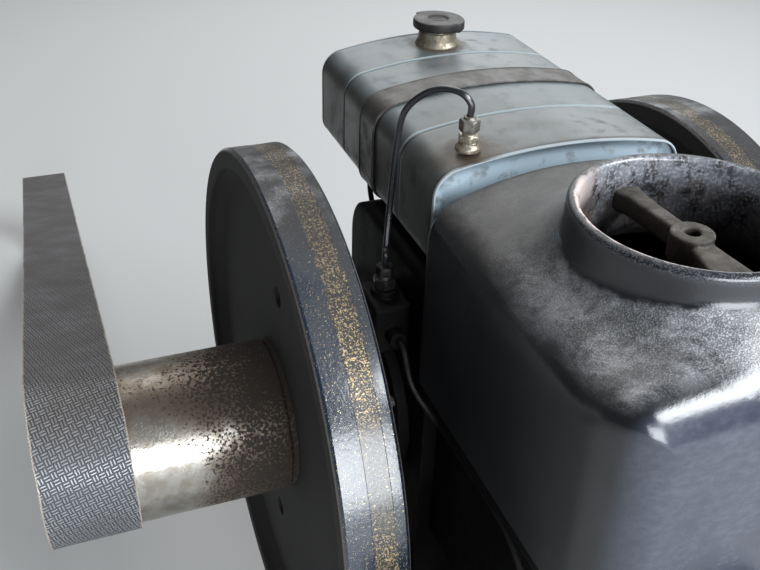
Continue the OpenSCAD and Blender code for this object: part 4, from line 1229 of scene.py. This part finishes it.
BAR_END = 0.0905
rear_arm = bar("rear_arm", [
    (y, 0.0075 + 0.006 * (y / BAR_END) ** 6, BRIDGE_TOP - 0.002 - 0.004 * y / BAR_END,
     BRIDGE_TOP - 0.021 - 0.004 * y / BAR_END) for y in (0.011, 0.03, 0.05, 0.07, 0.082, BAR_END)])
front_arm = bar("front_arm", [
    (-y, 0.0095 + 0.0175 * (y / BAR_END) ** 1.5, BRIDGE_TOP - 0.004 - 0.006 * (y / BAR_END) ** 1.5,
     BRIDGE_TOP - 0.020 - 0.002 * y / BAR_END) for y in (0.011, 0.025, 0.04, 0.06, 0.08, BAR_END)])
boss = turned("boss", soften([
    (0.0062, BRIDGE_TOP - 0.024, 0.0005), (0.0165, BRIDGE_TOP - 0.024, 0.002), (0.0174, BRIDGE_TOP, 0.0022),
    (0.0075, BRIDGE_TOP, 0.0005), (0.0062, BRIDGE_TOP - 0.0015, 0)]), 56, "Z", (0, MOUTH_Y, CRANK_Z))
bridge = join("mouth_bridge", rear_arm, front_arm, boss)
fuse = bridge.modifiers.new("fuse", "REMESH")
fuse.mode, fuse.voxel_size = "VOXEL", 0.00115
settle = bridge.modifiers.new("settle", "SMOOTH")
settle.factor, settle.iterations = 0.5, 4
apply_modifiers(bridge)
finish_piece(bridge, "engine", "rusty_iron", ["hopper_bridge"], sharp=60)

# %% [markdown]
# The tank's shell is sheet metal rolled round a crowned section. Its outline is listed once with
# the outward direction at every point, so that rims, grooves and the strap are the same outline
# moved in or out by a little.

# %% Tank outline
def crowned_outline(half_width, low, top, corner_r, crown_r, foot_r):
    corner_x = half_width - corner_r
    reach = crown_r - corner_r
    corner_z = top - crown_r + math.sqrt(reach ** 2 - corner_x ** 2)
    touch = math.atan2(corner_z - (top - crown_r), corner_x)
    right = []
    for s in range(15):
        a = math.pi / 2 + (touch - math.pi / 2) * s / 14
        right.append((crown_r * math.cos(a), top - crown_r + crown_r * math.sin(a), a))
    for s in range(1, 11):
        a = touch * (1 - s / 10)
        right.append((corner_x + corner_r * math.cos(a), corner_z + corner_r * math.sin(a), a))
    for s in range(1, 7):
        right.append((half_width, corner_z + (low + foot_r - corner_z) * s / 7, 0.0))
    for s in range(0, 9):
        a = -math.pi / 2 * s / 8
        right.append((half_width - foot_r + foot_r * math.cos(a), low + foot_r + foot_r * math.sin(a), a))
    for s in range(1, 8):
        right.append(((half_width - foot_r) * (1 - s / 8), low, -math.pi / 2))
    left = [(-x, z, math.pi - a) for x, z, a in right[:0:-1]]
    return right + [(0.0, low, -math.pi / 2)] + left


TANK_W = 0.131
TANK_FRONT = -0.115
TANK_REAR = 0.221
TANK_TOP = 0.3466
TANK_LOW = 0.230
tank_line = crowned_outline(TANK_W, TANK_LOW, TANK_TOP, 0.028, 0.542, 0.022)

# %% [markdown]
# The shell is a row of such outlines: the rolled rim at the front, the body with two pressed
# grooves, and the rolled rim at the rear. More rows stand at the grooves than between them.

# %% Tank shell
def tank_ring(y, inset=0.0):
    return [Vector((x - inset * math.cos(a), y, CRANK_Z + z - inset * math.sin(a))) for x, z, a in tank_line]


def groove_depth(y):
    depth = 0.0
    for groove in GROOVE_SPOTS:
        away = abs(y - groove) / 0.0030
        if away < 1:
            depth = 0.0021 * (math.cos(math.pi * away) + 1) / 2
    return depth


stations = [TANK_FRONT + 0.008 + i * 0.006 for i in range(54)]
for groove in GROOVE_SPOTS:
    stations += [groove + step * 0.0006 for step in range(-5, 6)]
stations = sorted(y for y in stations if TANK_FRONT + 0.007 < y < TANK_REAR - 0.007)
bead = [(0.0085, 0.0022), (0.006, 0.0022), (0.0004, 0.0022), (0.0, 0.0016), (0.0002, 0.0007),
        (0.0014, 0.0001), (0.0034, 0.0001), (0.0046, 0.0008), (0.0064, 0.0004)]
rows = [tank_ring(TANK_FRONT + d, inset) for d, inset in bead]
rows += [tank_ring(y, groove_depth(y) + 0.0002) for y in stations]
rows += [tank_ring(TANK_REAR - d, inset) for d, inset in reversed(bead)]
rows += [tank_ring(TANK_REAR - 0.0085, 0.0040), tank_ring(TANK_FRONT + 0.0085, 0.0040)]
shell = skin("fuel_tank_shell", rows, wrap=True)
finish_piece(shell, "engine", "tank_blue", ["tank_shell"], sharp=40)

# %% [markdown]
# Each end is a dished plate set inside the rolled rim, with a raised border and a soft hollow.

# %% Tank end plates
def tank_plate(name, y, outward, replaced):
    centre = Vector((0, y + outward * 0.0028, CRANK_Z + (TANK_TOP + TANK_LOW) / 2))
    rings = []
    for inset, out in ((0.0024, -0.0025), (0.0024, 0.0), (0.006, 0.0), (0.009, -0.0012), (0.013, -0.0012),
                       (0.017, 0.0012)):
        rings.append(tank_ring(y + outward * out, inset))
    edge = rings[-1]
    for share in (0.8, 0.6, 0.4, 0.2):
        rings.append([Vector((centre.x + (p.x - centre.x) * share, p.y + outward * 0.0016 * (1 - share ** 2),
                              centre.z + (p.z - centre.z) * share)) for p in edge])
    back = Vector((0, y - outward * 0.0025, centre.z))
    plate = skin(name, rings, start_middle=back, end_middle=centre)
    finish_piece(plate, "engine", "tank_blue", [replaced], sharp=40)


tank_plate("tank_front_plate", TANK_FRONT + 0.0063, -1, "tank_front_end")
tank_plate("tank_rear_plate", TANK_REAR - 0.0063, 1, "tank_rear_end")

# %% [markdown]
# The strap is the same outline carried outwards by its own thickness, with rolled edges. Its short
# section is swept round the tank.

# %% Tank strap
strap_profile = soften([(-0.0208, -0.0003, 0.0004), (-0.0208, -0.0024, 0.0009), (-0.0195, -0.0027, 0.0006),
                        (-0.0175, -0.0019, 0.0006), (0.0175, -0.0019, 0.0006), (0.0195, -0.0027, 0.0006),
                        (0.0208, -0.0024, 0.0009), (0.0208, -0.0003, 0.0004)], steps=3)
strap = skin("tank_strap_band", [tank_ring(STRAP_Y + y, inset) for y, inset in strap_profile], wrap=True)
finish_piece(strap, "engine", "strap_steel", ["tank_strap"], sharp=45)

# %% [markdown]
# Pipes are drawn along smooth routes that repeat the construction model's points. Each ring of the
# tube stands square to the route, and carries its frame on from the last one so that the tube
# doesn't twist.

# %% Pipes
def smooth_route(points, steps):
    route = []
    for i in range(len(points) - 1):
        a, b = points[max(i - 1, 0)], points[i]
        c, d = points[i + 1], points[min(i + 2, len(points) - 1)]
        for k in range(steps):
            t = k / steps
            route.append(0.5 * (2 * b + (c - a) * t + (2 * a - 5 * b + 4 * c - d) * t * t
                                + (3 * b - a - 3 * c + d) * t ** 3))
    return route + [points[-1]]


def tube(name, points, diameter, steps=10, sides=20):
    route = smooth_route([Vector(p) / 1000 + CRANK for p in points], steps)
    forward = (route[1] - route[0]).normalized()
    side = forward.orthogonal().normalized()
    rings = []
    for i, spot in enumerate(route):
        if i == len(route) - 1:
            forward = (route[-1] - route[-2]).normalized()
        elif i > 0:
            forward = (route[i + 1] - route[i - 1]).normalized()
        side = (side - forward * side.dot(forward)).normalized()
        up = forward.cross(side)
        rings.append([spot + (side * math.cos(a) + up * math.sin(a)) * diameter / 2
                      for a in turns(sides)])
    return skin(name, rings, start_middle=route[0], end_middle=route[-1])


# %% [markdown]
# Three pipes are drawn: the thin return pipe that arches over the tank's edge, the pressure
# pipe from the pump to the injector, and the feed pipe from the filter. The points are in
# millimetres from the crankshaft's middle.

# %% Pipe routes
UNION_X, UNION_Y, RETURN_START, TANK_SIDE = -89.0, -91.0, 374.6, -131
PUMP_X, PUMP_Y, PUMP_Z = -150.0, -51.0, 114.0
PUMP_TOP = PUMP_Z + 58
PUMP_FRONT, PUMP_REAR = PUMP_Y - 28, PUMP_Y + 28
DELIVERY_Z = PUMP_Z + 26
FEED_X = -63
return_points = [
    (UNION_X, UNION_Y, RETURN_START), (UNION_X, UNION_Y, RETURN_START + 11), (-97, -85, RETURN_START + 20.5),
    (-109, -69, RETURN_START + 19.5), (-123, -54, RETURN_START + 8), (-134, -44, RETURN_START - 11),
    (TANK_SIDE - 6, -38, 332.6), (TANK_SIDE - 8, -34, 288.3), (TANK_SIDE - 10, -34, 256),
    (PUMP_X + 3, -44, 224), (PUMP_X, PUMP_Y, PUMP_TOP + 46), (PUMP_X, PUMP_Y, PUMP_TOP + 34)]
pressure_points = [
    (PUMP_X, PUMP_FRONT - 16, DELIVERY_Z), (PUMP_X, PUMP_FRONT - 30, DELIVERY_Z),
    (PUMP_X + 2, -129, DELIVERY_Z - 30), (-133, -147, 81), (-127, -180, 75), (-127, -300, 75),
    (-127, -360, 38), (-129, -394, 30), (-129, -408, 30)]
feed_points = [
    (FEED_X, 180, 206), (FEED_X - 12, 180, 206), (FEED_X - 22, 172, 178), (FEED_X - 24, 146, 128),
    (-114, 138, 96), (PUMP_X + 4, 108, 88), (PUMP_X, 60, 92), (PUMP_X, PUMP_REAR + 26, PUMP_Z + 18),
    (PUMP_X, PUMP_REAR + 10, PUMP_Z + 30), (PUMP_X, PUMP_REAR, PUMP_Z + 30)]
for name, points, diameter, replaced, finish in (
        ("return_pipe", return_points, 0.0064, "fuel_return_pipe", None),
        ("pressure_pipe", pressure_points, 0.006, "high_pressure_pipe", "sooty_steel"),
        ("feed_pipe", feed_points, 0.0065, "fuel_feed_pipe", "sooty_steel")):
    finish_piece(tube(name, points, diameter), "engine", "black_steel", [replaced], finish=finish)

# %% [markdown]
# Union nuts and bodies are hexagons with the corners turned off, as a lathe leaves them. A hexagon
# is swung as six flats whose reach shrinks near both faces.

# %% Unions and nuts
CHAMFER = 0.0012


def hexagon(across_flats, low, high, middle, turn):
    corner = across_flats / 2 / math.cos(math.pi / 6)
    cut = corner - CHAMFER * 1.6
    rings = []
    for height, limit in ((low, cut), (low + CHAMFER, corner), (high - CHAMFER, corner), (high, cut)):
        ring = []
        for a in turns(36):
            reach = min(across_flats / 2 / math.cos((a % (math.pi / 3)) - math.pi / 6), limit)
            ring.append(Vector((middle[0] + reach * math.cos(a + turn),
                                middle[1] + reach * math.sin(a + turn), height)))
        rings.append(ring)
    return skin("hexagon", rings, start_middle=Vector((*middle, low)), end_middle=Vector((*middle, high)))


def stem(outline, middle):
    capped = [(0.0, outline[0][1])] + outline + [(0.0, outline[-1][1])]
    return turned("stem", capped, 48, "Z", middle, closed=False)


# %% [markdown]
# The return union is a turned foot with two hexagons and short collars between them. The pump has
# two nuts stacked on its top.

# %% Return union and pump nuts
union_spot = (UNION_X / 1000, UNION_Y / 1000)
union_z = CRANK_Z + TANK_TOP - 0.0046
union_foot = (*union_spot, union_z)
union_body = join(
    "return_union_body",
    stem([(0.0118, 0.0), (0.0116, 0.0034), (0.0104, 0.0050), (0.0090, 0.0062), (0.0088, 0.0085)], union_foot),
    hexagon(0.0172, union_z + 0.0078, union_z + 0.0150, union_spot, 0.2),
    stem([(0.0062, 0.0145), (0.0062, 0.0195)], union_foot))
finish_piece(union_body, "engine", "brass", ["return_union"], sharp=30)
union_nut = join(
    "return_union_nut", hexagon(0.0168, union_z + 0.0180, union_z + 0.0300, union_spot, 0.55),
    stem([(0.0058, 0.0296), (0.0056, 0.0325)], union_foot))
finish_piece(union_nut, "engine", "dull_steel", sharp=30)

pump_spot = (PUMP_X / 1000, PUMP_Y / 1000)
nut_base = CRANK_Z + (PUMP_TOP + 8) / 1000
pump_nuts = join(
    "pump_nuts", hexagon(0.021, nut_base + 0.0002, nut_base + 0.012, pump_spot, 0.3),
    stem([(0.0085, 0.0), (0.0088, 0.0008), (0.0088, 0.0024), (0.0078, 0.0032)],
         (*pump_spot, nut_base + 0.0117)),
    hexagon(0.017, nut_base + 0.0148, nut_base + 0.0256, pump_spot, 0.75))
finish_piece(pump_nuts, "engine", "dull_steel", ["pump_union_nuts"], sharp=30, finish="oily_steel")

# %% [markdown]
# The filler is a spun neck that flares into the tank, under a bayonet cap. The cap's rim grows out
# into a thumb stop at either end of one half turn. The neck is turned like the wheels.

# %% Filler neck
filler_middle = Vector((*FILLER_SPOT, CRANK_Z + TANK_TOP))
neck = soften([
    (0.0172, -0.003, 0.0004), (0.0250, -0.003, 0.0004), (0.0250, 0.0008, 0.0008), (0.0240, 0.0028, 0.0014),
    (0.0226, 0.0060, 0.0030), (0.0214, 0.0148, 0.0010), (0.0199, 0.0160, 0.0006), (0.0199, 0.0196, 0.0008),
    (0.0172, 0.0198, 0.0005)])
neck_piece = turned("filler_neck_spun", neck, 96, "Z", filler_middle)
finish_piece(neck_piece, "engine", "brass", ["filler_neck"], sharp=40)

# %% [markdown]
# The cap is a skin of closed rows from its inner edge, down under the rim, up over the top and
# into the sunk middle. Only the rim's rows carry the lobe.

# %% Filler cap
CAP_BASE = 0.012
LOBE = 0.0042
STOPS_MIDDLE, STOP_REACH, STOP_DROP = 27.5, 90.5, 9


def cap_reach(angle, radius, share):
    """Over the half turn between its two thumb stops the rim grows, and beyond each stop it drops back."""
    away = abs((math.degrees(angle) - STOPS_MIDDLE + 180) % 360 - 180) / STOP_REACH
    if away <= 1:
        grown = 0.18 + 0.82 * away ** 2.4
    else:
        grown = max(0.0, 1 - (away - 1) * STOP_REACH / STOP_DROP)
    return radius + LOBE * share * grown


# Each row is the radius, the height and how far the lobe grows there.
cap_rows = [
    (0.0202, 0.0082, 0), (0.0202, 0.0056, 0), (0.0205, 0.0051, 0), (0.0213, 0.0051, 0), (0.0217, 0.0056, 0),
    (0.0217, 0.0064, 0), (0.0230, 0.0070, 0), (0.0272, 0.0070, 0.9), (0.0280, 0.0073, 1), (0.0286, 0.0082, 1),
    (0.0288, 0.0098, 1), (0.0288, 0.0146, 1), (0.0285, 0.0160, 1), (0.0278, 0.0167, 1), (0.0268, 0.0169, 0.96),
    (0.0225, 0.0169, 0.5), (0.0160, 0.0169, 0.1), (0.0128, 0.0169, 0), (0.0121, 0.0167, 0), (0.0114, 0.0157, 0),
    (0.0103, 0.0152, 0), (0.0070, 0.0152, 0), (0.0060, 0.0157, 0), (0.0042, 0.0159, 0), (0.0030, 0.0153, 0),
    (0.0018, 0.0152, 0)]
rings = []
for radius, height, share in cap_rows:
    reaches = [(a, cap_reach(a, radius, share)) for a in turns(240)]
    rings.append([Vector((reach * math.cos(a), reach * math.sin(a), height + CAP_BASE)) + filler_middle
                  for a, reach in reaches])
ends = [filler_middle + Vector((0, 0, CAP_BASE + height)) for height in (0.0082, 0.0152)]
cap = skin("bayonet_cap", rings, start_middle=ends[0], end_middle=ends[1])
finish_piece(cap, "tank_cap", "cap_plastic", ["filler_cap"], sharp=45)

# %% [markdown]
# Covers, flanges and the pulley's end plate are held by hexagon bolts on flat washers. One Geometry
# Nodes tree draws the bolt and sets it on every point of a small mesh, square to the axis stored at
# the point and turned by a random angle, as spanners leave them. Each body gets one mesh of bolts.

# %% Bolt tree
def stored(name, kind):
    return Node("GeometryNodeInputNamedAttribute", {"Name": name}, data_type=kind)["Attribute"]


GEOMETRY = "NodeSocketGeometry"
bolt_tree, given, result = new_group("hexagon_bolts", [
    ("Points", GEOMETRY, None), ("Across flats", FLOAT, 0.013), ("Head height", FLOAT, 0.0053),
    ("Turn", FLOAT, 6.28), ("Finish", "NodeSocketMaterial", None)], [("Bolts", GEOMETRY)], "GeometryNodeTree")
flats, head_h = given["Across flats"], given["Head height"]
washer_h = flats * 0.12
washer = Node("GeometryNodeMeshCylinder", {"Vertices": 28, "Radius": flats * 0.64, "Depth": washer_h})
head = Node("GeometryNodeMeshCylinder", {"Vertices": 6, "Radius": flats * 0.5774, "Depth": head_h})
crown = Node("GeometryNodeMeshCone", {"Vertices": 28, "Radius Bottom": flats * 0.49,
                                      "Radius Top": flats * 0.40, "Depth": flats * 0.07})
bolt = Node("GeometryNodeJoinGeometry")
for solid, height in ((washer, washer_h * 0.5), (head, maths("MULTIPLY_ADD", head_h, 0.5, washer_h)),
                      (crown, head_h + washer_h)):
    offset = Node("ShaderNodeCombineXYZ", {"Z": height})[0]
    moved = Node("GeometryNodeTransform", {"Geometry": solid["Mesh"], "Translation": offset})[0]
    plug(moved, bolt.node.inputs[0])
square = Node("FunctionNodeAlignRotationToVector", {"Vector": stored("axis", "FLOAT_VECTOR")}, axis="Z")[0]
chance = Node("FunctionNodeRandomValue", {"Seed": 7, 3: given["Turn"]}, data_type="FLOAT")[1]
twist = Node("FunctionNodeAxisAngleToRotation", {"Axis": (0, 0, 1), "Angle": chance})[0]
aimed = Node("FunctionNodeRotateRotation", {0: square, 1: twist}, rotation_space="LOCAL")[0]
copies = Node("GeometryNodeInstanceOnPoints", {"Points": given["Points"], "Instance": bolt[0],
                                               "Rotation": aimed, "Scale": stored("size", "FLOAT")})[0]
real = Node("GeometryNodeRealizeInstances", {0: copies})[0]
plug(Node("GeometryNodeSetMaterial", {"Geometry": real, "Material": given["Finish"]})[0], result["Bolts"])
print("bolt tree:", len(bolt_tree.nodes), "nodes")

# %% [markdown]
# Each list holds the places of the bolts in millimetres from the crankshaft's middle, the axis of
# the bolt, and its size across flats.

# %% Bolts in place
BOLT = 13.0
REAR_COVER_Y, TIMING_X, BEARING_X, EXHAUST_X, FOOT_Z = 122, 168, -142, 107, -189


def around(y, z, reach, angles):
    return [(y + reach * math.cos(math.radians(a)), z + reach * math.sin(math.radians(a))) for a in angles]


RIGHT, LEFT, BACK, UP = (1, 0, 0), (-1, 0, 0), (0, 1, 0), (0, 0, 1)
engine_bolts = [((x, REAR_COVER_Y, z), BACK, BOLT) for x in (-83, 83) for z in (98, 19, -60, -138)]
engine_bolts += [((0, REAR_COVER_Y, z), BACK, BOLT) for z in (98, -138)]
for x, axis, across, spots in (
        (TIMING_X, RIGHT, BOLT, around(0, 0, 81, (20, -22, -64, -106, -148, 170))),
        (TIMING_X, RIGHT, BOLT, around(-48, 86, 63, (20, 65, 110, 155, 200))),
        (BEARING_X, LEFT, BOLT, around(0, 0, 78, range(30, 390, 60))),
        (EXHAUST_X, RIGHT, 8, around(-438, 24, 31.5, (45, 135, 225, 315)))):
    engine_bolts += [((x, y, z), axis, across) for y, z in spots]
engine_bolts += [((x, -326, FOOT_Z), UP, 19) for x in (-124, 124)]
plate_bolts = [((-PLATE_X * 1000, y, z), LEFT, BOLT) for y, z in around(0, 0, 62, range(0, 360, 60))]

for body, places in (("engine", engine_bolts), ("crank_assembly", plate_bolts)):
    points = bpy.data.meshes.new(body + "_bolts")
    points.from_pydata([(x / 1000, y / 1000, CRANK_Z + z / 1000) for (x, y, z), _, _ in places], [], [])
    points.attributes.new("axis", "FLOAT_VECTOR", "POINT")
    points.attributes.new("size", "FLOAT", "POINT")
    for k, (_, direction, across) in enumerate(places):
        points.attributes["axis"].data[k].vector = direction
        points.attributes["size"].data[k].value = across / BOLT
    bolts = add_object(body + "_bolts", points)
    copier = bolts.modifiers.new("bolts", "NODES")
    copier.node_group = bolt_tree
    own_values = {"Across flats": BOLT / 1000, "Finish": materials["dull_steel"]}
    for item in bolt_tree.interface.items_tree:
        if item.name in own_values:
            copier[item.identifier] = own_values[item.name]
    apply_modifiers(bolts)
    finish_piece(bolts, body, "dull_steel", sharp=30)
